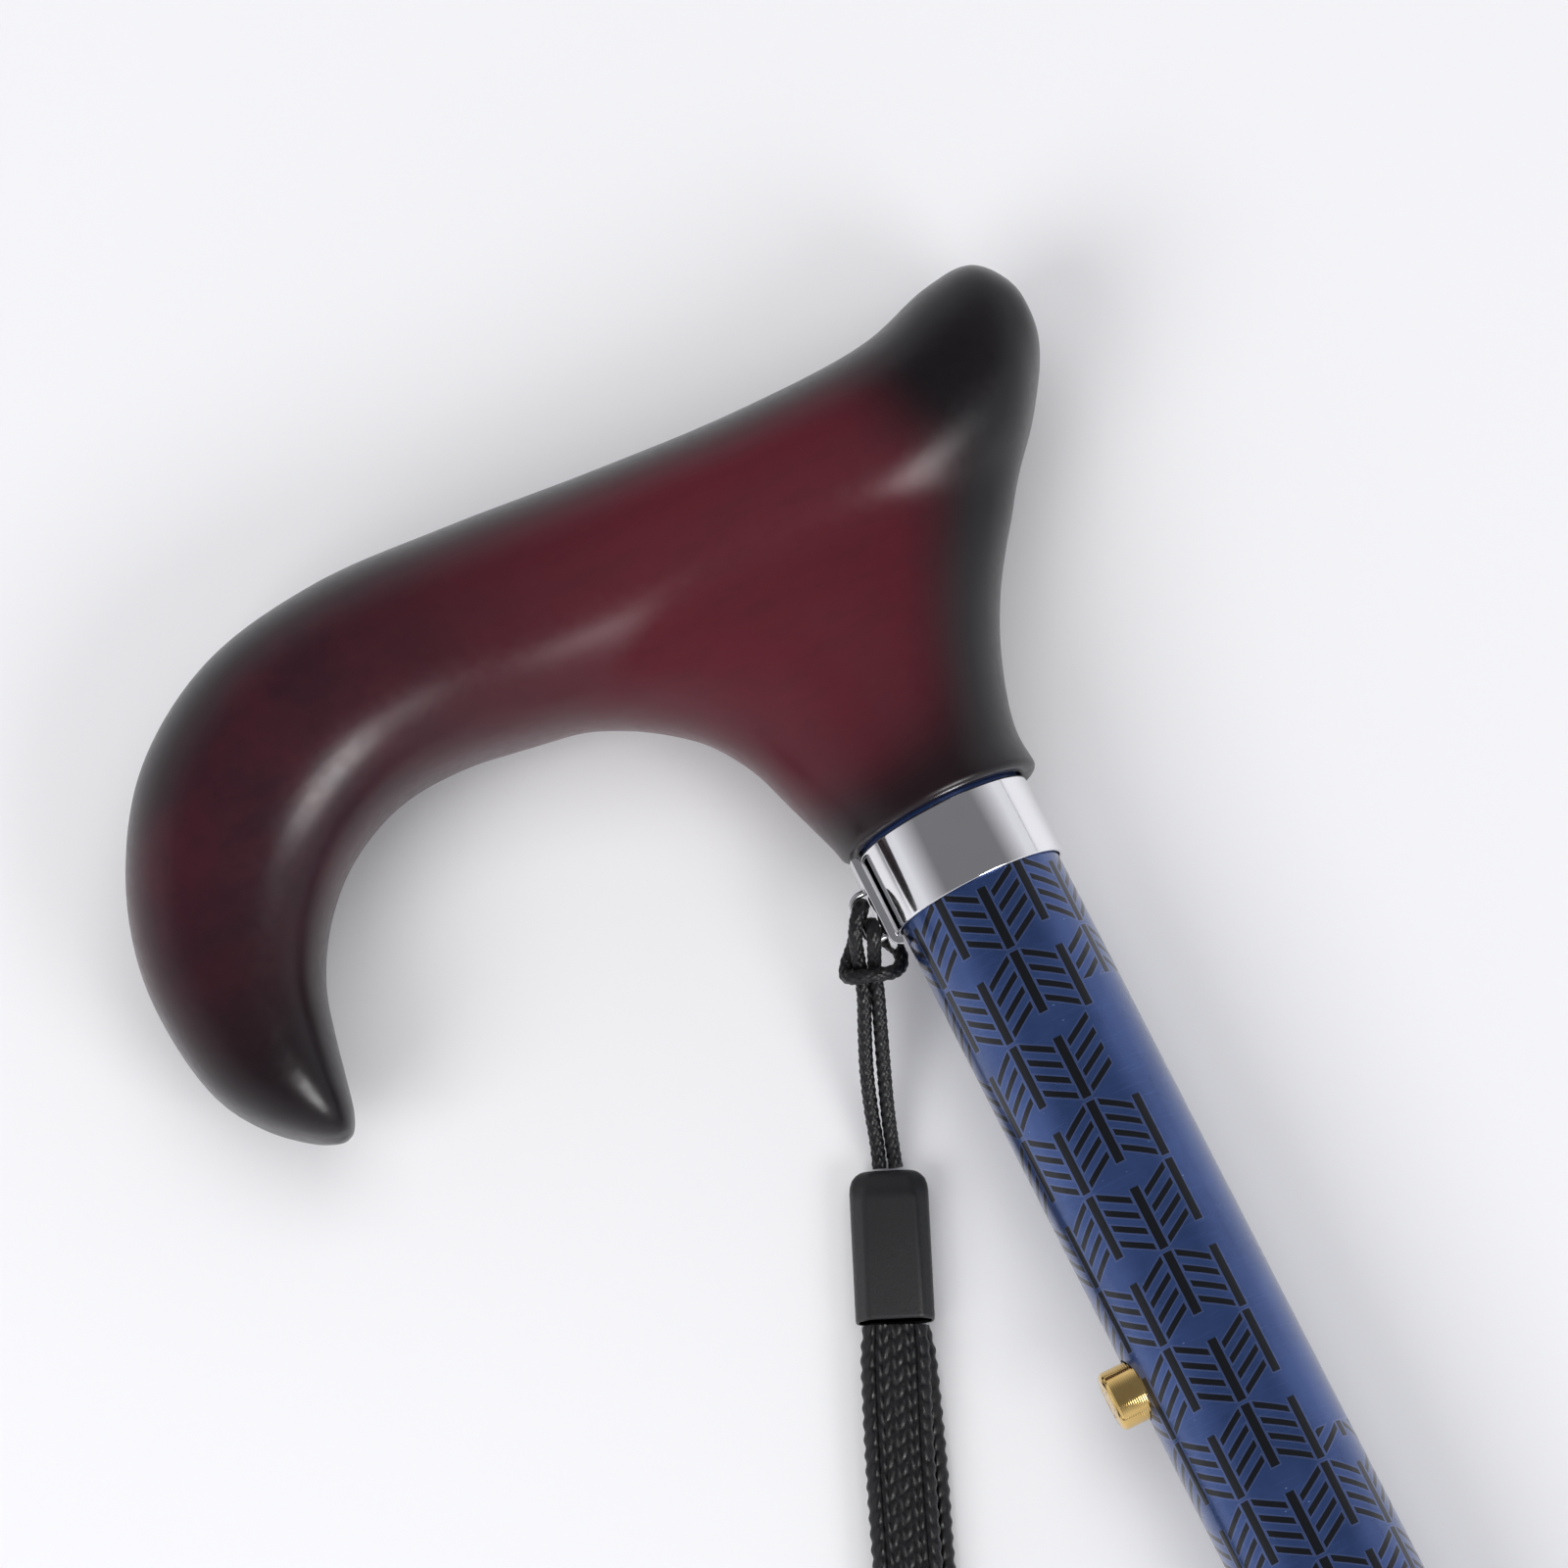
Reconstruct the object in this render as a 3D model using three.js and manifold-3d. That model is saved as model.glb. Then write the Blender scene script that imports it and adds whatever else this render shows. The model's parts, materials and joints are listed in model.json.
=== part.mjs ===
// A height-adjustable single point cane, lying on its side, in millimetres.
// Shaft frame used below: X runs up the shaft from the collar's lower edge towards the handle,
// Y points the way the handle's hook does, Z is up, and the shaft's axis is the X axis.
// The finished group is then moved so that its origin is under the middle of the cane.
import * as THREE from "three";
import { mergeVertices } from "three/addons/utils/BufferGeometryUtils.js";
import Module from "manifold-3d";

const wasm = await Module();
wasm.setup();

// ---------------------------------------------------------------- driving dimensions
const TOTAL_LENGTH = 737; // shortest setting, handle top to sole
const HANDLE_TOP = 73.4; // above the collar's lower edge
const AXIS_HEIGHT = 16; // the shaft's axis over the table: half the handle's thickness

const TUBE_R = 11;
const TUBE_WALL = 1.2;
const LOWER_R = 9.5;
const UPPER_TUBE_TOP = 42; // inside the handle's socket
const UPPER_TUBE_END = -400;
const SOLE = HANDLE_TOP - TOTAL_LENGTH;

const HOLE_COUNT = 7;
const HOLE_PITCH = 30;
const HOLE_R = 4.2;
const BUTTON_AT = -65;
const BUTTON_R = 3.9;
const BUTTON_PROUD = 3.6; // above the upper tube

const COLLAR_R = 11.65;
const COLLAR_HEIGHT = 10.7;
const CLIP_INNER = 12.0; // from the axis to the clip strip's inner face
const CLIP_OUTER = 13.1;
const CLIP_WIDTH = 5;
const EYE_WIRE_R = 0.45;
const EYE_REACH = 2.3; // from the strip's face to the middle of the wire
const EYE_ENDS = [0.4, 6.6];

const RIM_AT = 11.2; // the handle's lower rim
const SOCKET_R = 11.4;
const GRIP_FULLNESS = 2.3; // 2 would make the grip's sections ellipses
const SOCKET_TOP = 44;

const CORD_R = 0.8;
const BAND_WIDTH = 8.8;
const BAND_THICK = 2.3;
const CONNECTOR = { length: 19.2, width: 10, thick: 6.5, x: -33.6, y: 29.1, turn: 156.4 };

const GAP = 0.3; // between pieces that touch
const TUBE_SIDES = 40;
const SMALL_SIDES = 24;

// ---------------------------------------------------------------- geometry helpers
const halfTurn = Math.PI;
const quarterTurn = Math.PI / 2;

// A three.js geometry as a manifold-3d solid.
function solid(geometry) {
  const bare = new THREE.BufferGeometry();
  bare.setAttribute("position", geometry.getAttribute("position"));
  bare.setIndex(geometry.index);
  const merged = mergeVertices(bare, 1e-4);
  const mesh = new wasm.Mesh({
    numProp: 3,
    vertProperties: merged.getAttribute("position").array,
    triVerts: new Uint32Array(merged.index.array),
  });
  return new wasm.Manifold(mesh);
}

// A manifold-3d solid as a three.js geometry.
function geometryOf(made) {
  const mesh = made.getMesh();
  const geometry = new THREE.BufferGeometry();
  geometry.setAttribute("position", new THREE.BufferAttribute(mesh.vertProperties, 3));
  geometry.setIndex(new THREE.BufferAttribute(mesh.triVerts, 1));
  geometry.computeVertexNormals();
  return geometry;
}

function subtract(geometry, ...tools) {
  const made = tools.reduce((left, tool) => left.subtract(solid(tool)), solid(geometry));
  return geometryOf(made);
}

function join(first, ...others) {
  const made = others.reduce((sum, other) => sum.add(solid(other)), solid(first));
  return geometryOf(made);
}

// A solid of revolution about the shaft's axis: profile holds [radius, x] pairs. It runs
// anticlockwise round the section, and starts and ends on the axis or closes on itself.
function turned(profile, sides = TUBE_SIDES) {
  const points = profile.map(([radius, x]) => new THREE.Vector2(radius, x));
  const closed = profile[0][0] > 0;
  if (closed) points.push(points[0].clone());
  return new THREE.LatheGeometry(points, sides).rotateZ(-quarterTurn);
}

// A ring or tube about the shaft's axis, square at both ends.
function sleeve(inner, outer, from, to, sides = TUBE_SIDES) {
  return turned([[inner, from], [outer, from], [outer, to], [inner, to]], sides);
}

function rod(radius, from, to, sides = SMALL_SIDES) {
  return turned([[0, from], [radius, from], [radius, to], [0, to]], sides);
}

// The same turned profile with its axis along Y instead, centred at x.
function turnedAcross(profile, x, sides = SMALL_SIDES) {
  return turned(profile, sides).rotateZ(quarterTurn).translate(x, 0, 0);
}

function polygon(sides, radiusX, radiusY = radiusX) {
  const shape = new THREE.Shape();
  for (let i = 0; i < sides; i++) {
    const angle = ((i + 0.5) * 2 * Math.PI) / sides;
    const point = [radiusX * Math.cos(angle), radiusY * Math.sin(angle)];
    if (i === 0) shape.moveTo(...point);
    else shape.lineTo(...point);
  }
  shape.closePath();
  return shape;
}

// A flat section with its corners cut off.
function flatSection(halfX, halfY, corner) {
  const shape = new THREE.Shape();
  shape.moveTo(halfX - corner, -halfY);
  shape.lineTo(halfX, -halfY + corner);
  shape.lineTo(halfX, halfY - corner);
  shape.lineTo(halfX - corner, halfY);
  shape.lineTo(-halfX + corner, halfY);
  shape.lineTo(-halfX, halfY - corner);
  shape.lineTo(-halfX, -halfY + corner);
  shape.lineTo(-halfX + corner, -halfY);
  shape.closePath();
  return shape;
}

function along(points, section, steps) {
  const path = new THREE.CatmullRomCurve3(
    points.map((point) => new THREE.Vector3(...point)),
    false,
    "centripetal",
  );
  return new THREE.ExtrudeGeometry(section, { steps, extrudePath: path, curveSegments: 1 });
}

function roundedRectangle(width, height, corner) {
  const x = width / 2;
  const y = height / 2;
  const shape = new THREE.Shape();
  shape.moveTo(-x + corner, -y);
  shape.lineTo(x - corner, -y);
  shape.absarc(x - corner, -y + corner, corner, -quarterTurn, 0);
  shape.lineTo(x, y - corner);
  shape.absarc(x - corner, y - corner, corner, 0, quarterTurn);
  shape.lineTo(-x + corner, y);
  shape.absarc(-x + corner, y - corner, corner, quarterTurn, halfTurn);
  shape.lineTo(-x, -y + corner);
  shape.absarc(-x + corner, -y + corner, corner, halfTurn, 3 * quarterTurn);
  return shape;
}

// A box given by its lowest and highest corners.
function block(low, high) {
  const size = high.map((value, i) => value - low[i]);
  const middle = high.map((value, i) => (value + low[i]) / 2);
  return new THREE.BoxGeometry(...size).translate(...middle);
}

// ---------------------------------------------------------------- materials
function finish(color, roughness, metalness) {
  return new THREE.MeshStandardMaterial({ color, roughness, metalness });
}

const lacquer = finish(0x4b1623, 0.35, 0);
const chrome = finish(0xd8d9dc, 0.12, 1);
const printedTube = finish(0x2f4a86, 0.35, 0.8);
const plainTube = finish(0x1c2740, 0.4, 0.8);
const brass = finish(0xc79a3c, 0.25, 1);
const steel = finish(0x9a9ca0, 0.35, 1);
const blackPlastic = finish(0x151517, 0.5, 0);
const greyPlastic = finish(0x55575b, 0.6, 0);
const rubber = finish(0x1a1a1b, 0.9, 0);
const blackCord = finish(0x0b0b0d, 0.7, 0);

const cane = new THREE.Group(); // all but the strap
const strap = new THREE.Group(); // the strap, which sets neither origin nor size

function place(group, name, geometry, material) {
  const mesh = new THREE.Mesh(geometry, material);
  mesh.name = name;
  group.add(mesh);
  return mesh;
}

// ---------------------------------------------------------------- handle
// Stations along the grip, from the tail, over the palm and round the hook to its tip:
// the upper edge's x and y, the lower edge's x and y, and half the thickness.
const GRIP_STATIONS = [
  [64.6, -39.7, 64.6, -39.7, 0],
  [69.3, -38.9, 60.5, -38.8, 6.6],
  [73.7, -35.2, 55.0, -35.7, 10.4],
  [73.4, -28.6, 48.9, -30.9, 12.8],
  [70.2, -18.4, 44.0, -19.2, 14.7],
  [69.35, 0, 41.1, 0, 15.7],
  [70.4, 20, 41.1, 20, 15.95],
  [72.1, 40, 41.8, 38, 15.95],
  [72.8, 58.8, 43.8, 50.2, 15.5],
  [69.6, 75.2, 43.1, 60.2, 14.8],
  [61.2, 88.0, 39.0, 68.9, 14],
  [49.9, 95.6, 33.0, 75.0, 13.3],
  [38.4, 99.2, 26.0, 79.0, 12.5],
  [28.0, 99.4, 19.4, 80.8, 11.5],
  [18.8, 97.5, 13.6, 82.0, 10],
  [13.0, 93.9, 9.4, 83.0, 7.6],
  [9.2, 89.8, 7.2, 84.3, 4.6],
  [6.8, 86.3, 6.8, 86.3, 0],
];
// Stations up the neck, from the rim into the palm: x, back edge's y, front edge's y, half thickness.
const NECK_STATIONS = [
  [RIM_AT, -13.1, 13.1, 13.1],
  [RIM_AT + 0.7, -13.7, 13.7, 13.7],
  [16, -13.4, 14.9, 13.4],
  [21, -14.4, 16.6, 13.6],
  [27.5, -16.7, 18.9, 14.2],
  [33.5, -19.7, 23, 14.8],
  [38.5, -23, 29.6, 15.2],
  [41.8, -25.5, 36.5, 15.2],
  [46, -28.9, 41, 14.6],
  [51, -32.6, 41, 13.6],
  [56, -35.8, 36, 12],
  [61, -36.6, 28, 10],
];

// Points of one column pair of the stations as a smooth curve.
function edgeCurve(pairs) {
  const points = pairs.map(([x, y]) => new THREE.Vector3(x, y, 0));
  return new THREE.CatmullRomCurve3(points, false, "centripetal");
}

// Where a number lies among the stations' heights, read off smoothly.
function smoothAt(values, at) {
  const last = values.length - 1;
  const i = Math.min(Math.floor(at * last), last - 1);
  const part = at * last - i;
  const [a, b, c, d] = [i - 1, i, i + 1, i + 2].map((k) => values[THREE.MathUtils.clamp(k, 0, last)]);
  const slopeB = (c - a) / 2;
  const slopeC = (d - b) / 2;
  const square = part * part;
  const cube = square * part;
  return (
    (2 * cube - 3 * square + 1) * b +
    (cube - 2 * square + part) * slopeB +
    (-2 * cube + 3 * square) * c +
    (cube - square) * slopeC
  );
}

// One coordinate of a rounded section: sharper corners with a power over 2.
function superCircle(value, power) {
  return Math.sign(value) * Math.abs(value) ** (2 / power);
}

// The grip is a sphere stretched along its stations, one ring of points to each step.
function grip() {
  const steps = 42;
  const sides = 20;
  const sphere = new THREE.SphereGeometry(1, sides, steps);
  const top = edgeCurve(GRIP_STATIONS.map((row) => [row[0], row[1]]));
  const bottom = edgeCurve(GRIP_STATIONS.map((row) => [row[2], row[3]]));
  const halves = GRIP_STATIONS.map((row) => row[4]);
  const position = sphere.getAttribute("position");
  for (let i = 0; i < position.count; i++) {
    const [x, y, z] = [position.getX(i), position.getY(i), position.getZ(i)];
    const at = Math.acos(THREE.MathUtils.clamp(y, -1, 1)) / Math.PI;
    const ring = Math.hypot(x, z);
    const across = ring > 1e-6 ? superCircle(x / ring, GRIP_FULLNESS) : 0;
    const up = ring > 1e-6 ? superCircle(z / ring, GRIP_FULLNESS) : 0;
    const upper = top.getPoint(at);
    const lower = bottom.getPoint(at);
    const middle = upper.clone().add(lower).multiplyScalar(0.5);
    const reach = upper.clone().sub(lower).multiplyScalar(0.5 * across);
    const half = smoothAt(halves, at);
    position.setXYZ(i, middle.x + reach.x, middle.y + reach.y, half * -up);
  }
  return sphere;
}

// The neck is a cylinder stretched along its own stations.
function neck() {
  const steps = 16;
  const sides = 24;
  const cylinder = new THREE.CylinderGeometry(1, 1, 1, sides, steps);
  const columns = [0, 1, 2, 3].map((k) => NECK_STATIONS.map((row) => row[k]));
  const position = cylinder.getAttribute("position");
  for (let i = 0; i < position.count; i++) {
    const [x, y, z] = [position.getX(i), position.getY(i), position.getZ(i)];
    const at = y + 0.5;
    const [height, back, front, half] = columns.map((values) => smoothAt(values, at));
    const across = (back + front) / 2 + ((front - back) / 2) * x;
    position.setXYZ(i, height, across, half * -z);
  }
  return cylinder;
}

function handle() {
  const socket = rod(SOCKET_R, RIM_AT - 1, SOCKET_TOP, TUBE_SIDES);
  const pilot = rod(3.3, SOCKET_TOP - 1, 62, 16);
  return subtract(join(grip(), neck()), socket, pilot);
}
place(cane, "handle", handle(), lacquer);

// ---------------------------------------------------------------- what holds the handle on
function handleScrew() {
  const head = rod(5.2, 2, 6, 6);
  const shank = rod(2.9, 5.5, 60, 16);
  const point = turned([[0, 59.5], [2.9, 59.5], [0.6, 61.6], [0, 61.6]], 16);
  return join(head, shank, point);
}
place(cane, "handle_screw", handleScrew(), steel);
place(cane, "screw_washer", sleeve(3.3, 8.6, 6.3, 7.5, SMALL_SIDES), steel);
place(cane, "tube_plug", sleeve(3.3, TUBE_R - TUBE_WALL - GAP, 7.8, 41.5, SMALL_SIDES), greyPlastic);

// ---------------------------------------------------------------- collar, clip strip and eye
function collar() {
  const inner = TUBE_R + GAP - 0.05;
  const edge = 0.25;
  return turned([
    [inner, 0],
    [COLLAR_R - edge, 0],
    [COLLAR_R, edge],
    [COLLAR_R, COLLAR_HEIGHT - edge],
    [COLLAR_R - edge, COLLAR_HEIGHT],
    [inner, COLLAR_HEIGHT],
  ]);
}
place(cane, "collar", collar(), chrome);

// The strip stands off the collar, and its lower end curls in under the collar's lower edge.
function strapClip() {
  const thick = CLIP_OUTER - CLIP_INNER;
  const middle = (CLIP_OUTER + CLIP_INNER) / 2;
  const curl = 1;
  const points = [[COLLAR_HEIGHT - 0.1, middle, 0]];
  points.push([5, middle, 0], [0, middle, 0], [-0.3, middle, 0]);
  for (const turn of [30, 60, 90]) {
    const angle = THREE.MathUtils.degToRad(turn);
    points.push([-0.3 - curl * Math.sin(angle), middle - curl * (1 - Math.cos(angle)), 0]);
  }
  const section = flatSection(CLIP_WIDTH / 2, thick / 2, 0.2);
  return along(points, section, 16);
}
place(cane, "strap_clip", strapClip(), chrome);

// A staple of round wire on the strip's outer face.
function strapEye() {
  const face = CLIP_OUTER + GAP;
  const out = CLIP_OUTER + EYE_REACH;
  const [low, high] = EYE_ENDS;
  const points = [
    [low, face, 0],
    [low + 0.1, out - 1.1, 0],
    [low + 0.7, out - 0.25, 0],
    [low + 1.8, out, 0],
    [high - 1.8, out, 0],
    [high - 0.7, out - 0.25, 0],
    [high - 0.1, out - 1.1, 0],
    [high, face, 0],
  ];
  return along(points, polygon(8, EYE_WIRE_R), 20);
}
place(cane, "strap_eye", strapEye(), chrome);

// ---------------------------------------------------------------- tubes
// A round hole through the hook side of the tubes' walls, centred at x.
function buttonHole(x) {
  return turnedAcross([[0, 5], [HOLE_R, 5], [HOLE_R, 14], [0, 14]], x, 20);
}

function upperTube() {
  const blank = sleeve(TUBE_R - TUBE_WALL, TUBE_R, UPPER_TUBE_END, UPPER_TUBE_TOP);
  const holes = Array.from({ length: HOLE_COUNT }, (_, i) => buttonHole(BUTTON_AT - i * HOLE_PITCH));
  return subtract(blank, ...holes);
}
place(cane, "upper_tube", upperTube(), printedTube);

const LOWER_TUBE_TOP = BUTTON_AT + 25;
const LOWER_TUBE_END = SOLE + 8.2;
const LOWER_INNER = LOWER_R - TUBE_WALL;

function lowerTube() {
  const blank = sleeve(LOWER_INNER, LOWER_R, LOWER_TUBE_END, LOWER_TUBE_TOP);
  return subtract(blank, buttonHole(BUTTON_AT));
}
place(cane, "lower_tube", lowerTube(), plainTube);

// A ring with a flange that caps the lower tube's upper end.
function tubeEndCap() {
  const flange = LOWER_TUBE_TOP + GAP;
  const spigot = LOWER_INNER - GAP;
  return turned([
    [6.6, flange - 10],
    [spigot, flange - 10],
    [spigot, flange],
    [LOWER_R - 0.1, flange],
    [LOWER_R - 0.1, flange + 1.5],
    [6.6, flange + 1.5],
  ], SMALL_SIDES);
}
place(cane, "tube_end_cap", tubeEndCap(), greyPlastic);

// ---------------------------------------------------------------- snap button and its leaf spring
function snapButton() {
  const top = TUBE_R + BUTTON_PROUD;
  const profile = [
    [0, 5.6],
    [4.9, 5.6],
    [4.9, 6.4],
    [BUTTON_R, 6.4],
    [BUTTON_R, top - 0.5],
    [BUTTON_R - 0.5, top],
    [0, top],
  ];
  return turnedAcross(profile, BUTTON_AT);
}
place(cane, "snap_button", snapButton(), brass);

function buttonSpring() {
  const bend = BUTTON_AT - 34;
  const points = [
    [BUTTON_AT + 5, 5.0, 0],
    [BUTTON_AT, 5.0, 0],
    [BUTTON_AT - 5, 4.9, 0],
    [bend + 6, 0.6, 0],
    [bend + 1, -1.6, 0],
    [bend - 0.6, -4.2, 0],
    [bend + 1, -6.6, 0],
    [bend + 5, -7.2, 0],
    [BUTTON_AT - 5, -7.2, 0],
    [BUTTON_AT + 5, -7.2, 0],
  ];
  return along(points, flatSection(3, 0.25, 0.1), 24);
}
place(cane, "button_spring", buttonSpring(), steel);

// ---------------------------------------------------------------- bush, collet and lock ring
const BUSH_END = UPPER_TUBE_END - 9;
const RUNNING_R = LOWER_R + 0.35; // what the lower tube slides through

function tubeBushing() {
  const skirt = 12.6;
  const nose = 11.8;
  const seat = UPPER_TUBE_END - 0.4;
  return turned([
    [RUNNING_R, BUSH_END],
    [nose, BUSH_END],
    [nose, seat - 1],
    [skirt, seat - 1],
    [skirt, UPPER_TUBE_END + 15.4],
    [skirt - 0.6, UPPER_TUBE_END + 16],
    [TUBE_R + GAP, UPPER_TUBE_END + 16],
    [TUBE_R + GAP, seat],
    [RUNNING_R, seat],
  ]);
}
place(cane, "tube_bushing", tubeBushing(), blackPlastic);

// A tapered ring, split along one side so that it can close.
function lockCollet() {
  const top = BUSH_END - GAP;
  const ring = turned([
    [RUNNING_R, top - 5.6],
    [10.7, top - 5.6],
    [11.8, top],
    [RUNNING_R, top],
  ]);
  return subtract(ring, block([top - 7, 8, -0.6], [top + 1, 13, 0.6]));
}
place(cane, "lock_collet", lockCollet(), greyPlastic);

// A fluted nut with a bore that narrows to a cone over the collet.
function lockRing() {
  const flutes = 16;
  const outer = 15;
  const depth = 0.7;
  const top = UPPER_TUBE_END - 1.8;
  const length = 15.4;
  const outline = new THREE.Shape();
  const steps = flutes * 4;
  for (let i = 0; i < steps; i++) {
    const angle = (i * 2 * Math.PI) / steps;
    const groove = Math.max(0, Math.cos(angle * flutes)) ** 0.8;
    const radius = outer - 0.4 - depth * groove;
    const point = [radius * Math.cos(angle), radius * Math.sin(angle)];
    if (i === 0) outline.moveTo(...point);
    else outline.lineTo(...point);
  }
  outline.closePath();
  const bevel = { bevelThickness: 0.8, bevelSize: 0.8, bevelOffset: -0.4, bevelSegments: 1 };
  const body = new THREE.ExtrudeGeometry(outline, { depth: length - 1.6, curveSegments: 1, ...bevel });
  body.rotateY(-quarterTurn).translate(top - 0.8, 0, 0);
  const bore = turned([
    [0, top - length - 1],
    [10.2, top - length - 1],
    [10.2, top - length + 1],
    [10.9, top - length + 1],
    [12.3, top - 7.4],
    [12.3, top + 1],
    [0, top + 1],
  ]);
  return subtract(body, bore);
}
place(cane, "lock_ring", lockRing(), blackPlastic);

// ---------------------------------------------------------------- lower end
const TIP_FLOOR = SOLE + 6.4; // the tip's inside floor

function rubberTip() {
  const mouth = SOLE + 46;
  const bore = LOWER_R + GAP + 0.1;
  const base = AXIS_HEIGHT;
  const groove = SOLE + 1.1;
  return turned([
    [0, SOLE],
    [5.4, SOLE],
    [5.9, groove],
    [7.3, groove],
    [7.8, SOLE],
    [10.2, SOLE],
    [10.7, groove],
    [12.1, groove],
    [12.6, SOLE],
    [base - 0.7, SOLE],
    [base, SOLE + 1],
    [base, SOLE + 6],
    [base - 0.8, SOLE + 8],
    [14.1, SOLE + 12],
    [13.2, SOLE + 19],
    [12.7, SOLE + 40],
    [13.3, SOLE + 41.4],
    [13.3, mouth - 1],
    [12.6, mouth],
    [bore, mouth],
    [bore, TIP_FLOOR],
    [0, TIP_FLOOR],
  ], 32);
}
place(cane, "rubber_tip", rubberTip(), rubber);
place(cane, "tip_washer", rod(LOWER_R - 0.2, TIP_FLOOR + GAP, LOWER_TUBE_END - GAP), steel);
place(cane, "lower_plug", rod(LOWER_INNER - GAP, LOWER_TUBE_END, LOWER_TUBE_END + 18), greyPlastic);

// ---------------------------------------------------------------- thin cord
// The cord leaves the connector, goes up over the eye's wire and through the eye, comes back below,
// crosses over itself, goes up through the eye again and returns to the connector beside itself.
// Points are x, y and height over the table.
const LEFT_STRAND = [
  [-24.0, 26.0, 3.4],
  [-21.3, 25.0, 3.8],
  [-17.2, 23.8, 5.2],
  [-12.8, 22.3, 7.5],
  [-8.6, 20.5, 10.1],
  [-4.9, 18.8, 12.2],
];
const HITCH = [
  [-4.5, 18.6, 12.4],
  [-2.4, 17.9, 13.0],
  [0.0, 17.3, 14.9],
  [1.9, 16.7, 16.8],
  [3.7, 15.6, 17.5],
  [4.9, 14.5, 17.2],
  [5.2, 14.05, 16.0],
  [4.8, 14.4, 14.6],
  [3.3, 15.6, 13.7],
  [1.4, 17.3, 13.2],
  [-0.2, 18.9, 12.9],
  [-1.5, 19.6, 13.6],
  [-2.4, 19.0, 14.8],
  [-3.0, 17.4, 15.3],
  [-3.6, 15.6, 15.1],
  [-3.8, 14.0, 14.1],
  [-3.1, 12.7, 12.7],
  [-1.5, 12.1, 11.9],
  [0.4, 12.9, 12.0],
  [1.9, 14.0, 13.2],
  [2.6, 14.08, 15.2],
  [2.3, 14.1, 16.7],
  [1.4, 14.4, 17.5],
  [0.2, 14.9, 17.3],
  [-1.1, 15.5, 15.5],
  [-2.5, 16.1, 13.2],
  [-4.5, 16.75, 12.4],
];
const RIGHT_STRAND = [
  [-4.9, 16.9, 12.2],
  [-8.8, 18.4, 10.2],
  [-13.2, 20.1, 7.6],
  [-17.7, 21.8, 5.3],
  [-21.9, 23.2, 3.8],
  [-24.8, 24.1, 3.4],
];

// A cord of the strap along hand-laid points.
function cord(points, steps) {
  const lowered = points.map(([x, y, height]) => [x, y, height - AXIS_HEIGHT]);
  return along(lowered, polygon(8, CORD_R), steps);
}
place(strap, "cord_strand_left", cord(LEFT_STRAND, 8), blackCord);
place(strap, "cord_hitch", cord(HITCH, 50), blackCord);
place(strap, "cord_strand_right", cord(RIGHT_STRAND, 8), blackCord);

// ---------------------------------------------------------------- connector
// Local X runs along the strap towards the band; the two shells part at half height.
function connectorShell(side) {
  const half = CONNECTOR.thick / 2;
  const bevel = { bevelThickness: 0.9, bevelSize: 0.9, bevelOffset: -0.9, bevelSegments: 2 };
  const outline = roundedRectangle(CONNECTOR.length, CONNECTOR.width, 2);
  const depth = half - bevel.bevelThickness - GAP / 2;
  const slab = new THREE.ExtrudeGeometry(outline, { depth, curveSegments: 3, ...bevel });
  slab.translate(0, 0, GAP / 2);
  const whole = block([-20, -10, -5], [20, 10, GAP / 2]);
  const hollow = block([-7, -2.8, -1], [6, 2.8, 1.6]);
  const shell = subtract(slab, whole, hollow);
  return side > 0 ? shell : shell.rotateX(halfTurn);
}

function placeOnConnector(name, geometry, material) {
  const mesh = place(strap, name, geometry, material);
  mesh.position.set(CONNECTOR.x, CONNECTOR.y, CONNECTOR.thick / 2 + 0.1 - AXIS_HEIGHT);
  mesh.rotation.z = THREE.MathUtils.degToRad(CONNECTOR.turn);
}
placeOnConnector("connector_front", connectorShell(1), blackPlastic);
placeOnConnector("connector_back", connectorShell(-1), blackPlastic);
placeOnConnector("cord_crimp", block([-6.4, -2.2, -1.2], [1.5, 2.2, 1.2]), steel);

// ---------------------------------------------------------------- wrist band
// One band, out over the table, folded back and home again underneath itself, a little to one side.
const BAND_RUN = [
  [-43.0, 33.2],
  [-50, 36.2],
  [-60, 40.4],
  [-72, 45.3],
  [-85, 50.2],
  [-100, 54.9],
  [-118, 58.5],
  [-138, 60.2],
  [-160, 60.6],
  [-180, 60.6],
];
const BAND_SPREAD = [0.3, 0.7, 1, 1, 1, 1, 1, 1, 1, 1];
const BAND_OVER = [4.75, 4.45, 4.2, 4.05, 4.0, 4.0, 4.0, 4.05, 4.2, 5.2];
const BAND_UNDER = [2.0, 1.6, 1.35, 1.25, 1.25, 1.25, 1.25, 1.25, 1.25, 1.25];
const BAND_FOLD = [
  [-190, 61.05, 7.1],
  [-199, 61.0, 9.5],
  [-206.5, 60.8, 10.0],
  [-212, 60.5, 8.0],
  [-213.6, 60.2, 4.9],
  [-210.6, 59.9, 2.2],
  [-204, 59.7, 1.25],
  [-192, 59.6, 1.25],
];

// The band's middle line moved sideways by a distance, at the given heights.
function bandRun(sideways, heights) {
  return BAND_RUN.map(([x, y], i) => {
    const shift = sideways * BAND_SPREAD[i];
    return [x + 0.44 * shift, y + 0.9 * shift, heights[i]];
  });
}

// Presses whatever would reach below the table flat onto it.
function restOnTable(geometry) {
  const position = geometry.getAttribute("position");
  for (let i = 0; i < position.count; i += 1) {
    position.setZ(i, Math.max(position.getZ(i), -AXIS_HEIGHT));
  }
  return geometry;
}

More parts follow.
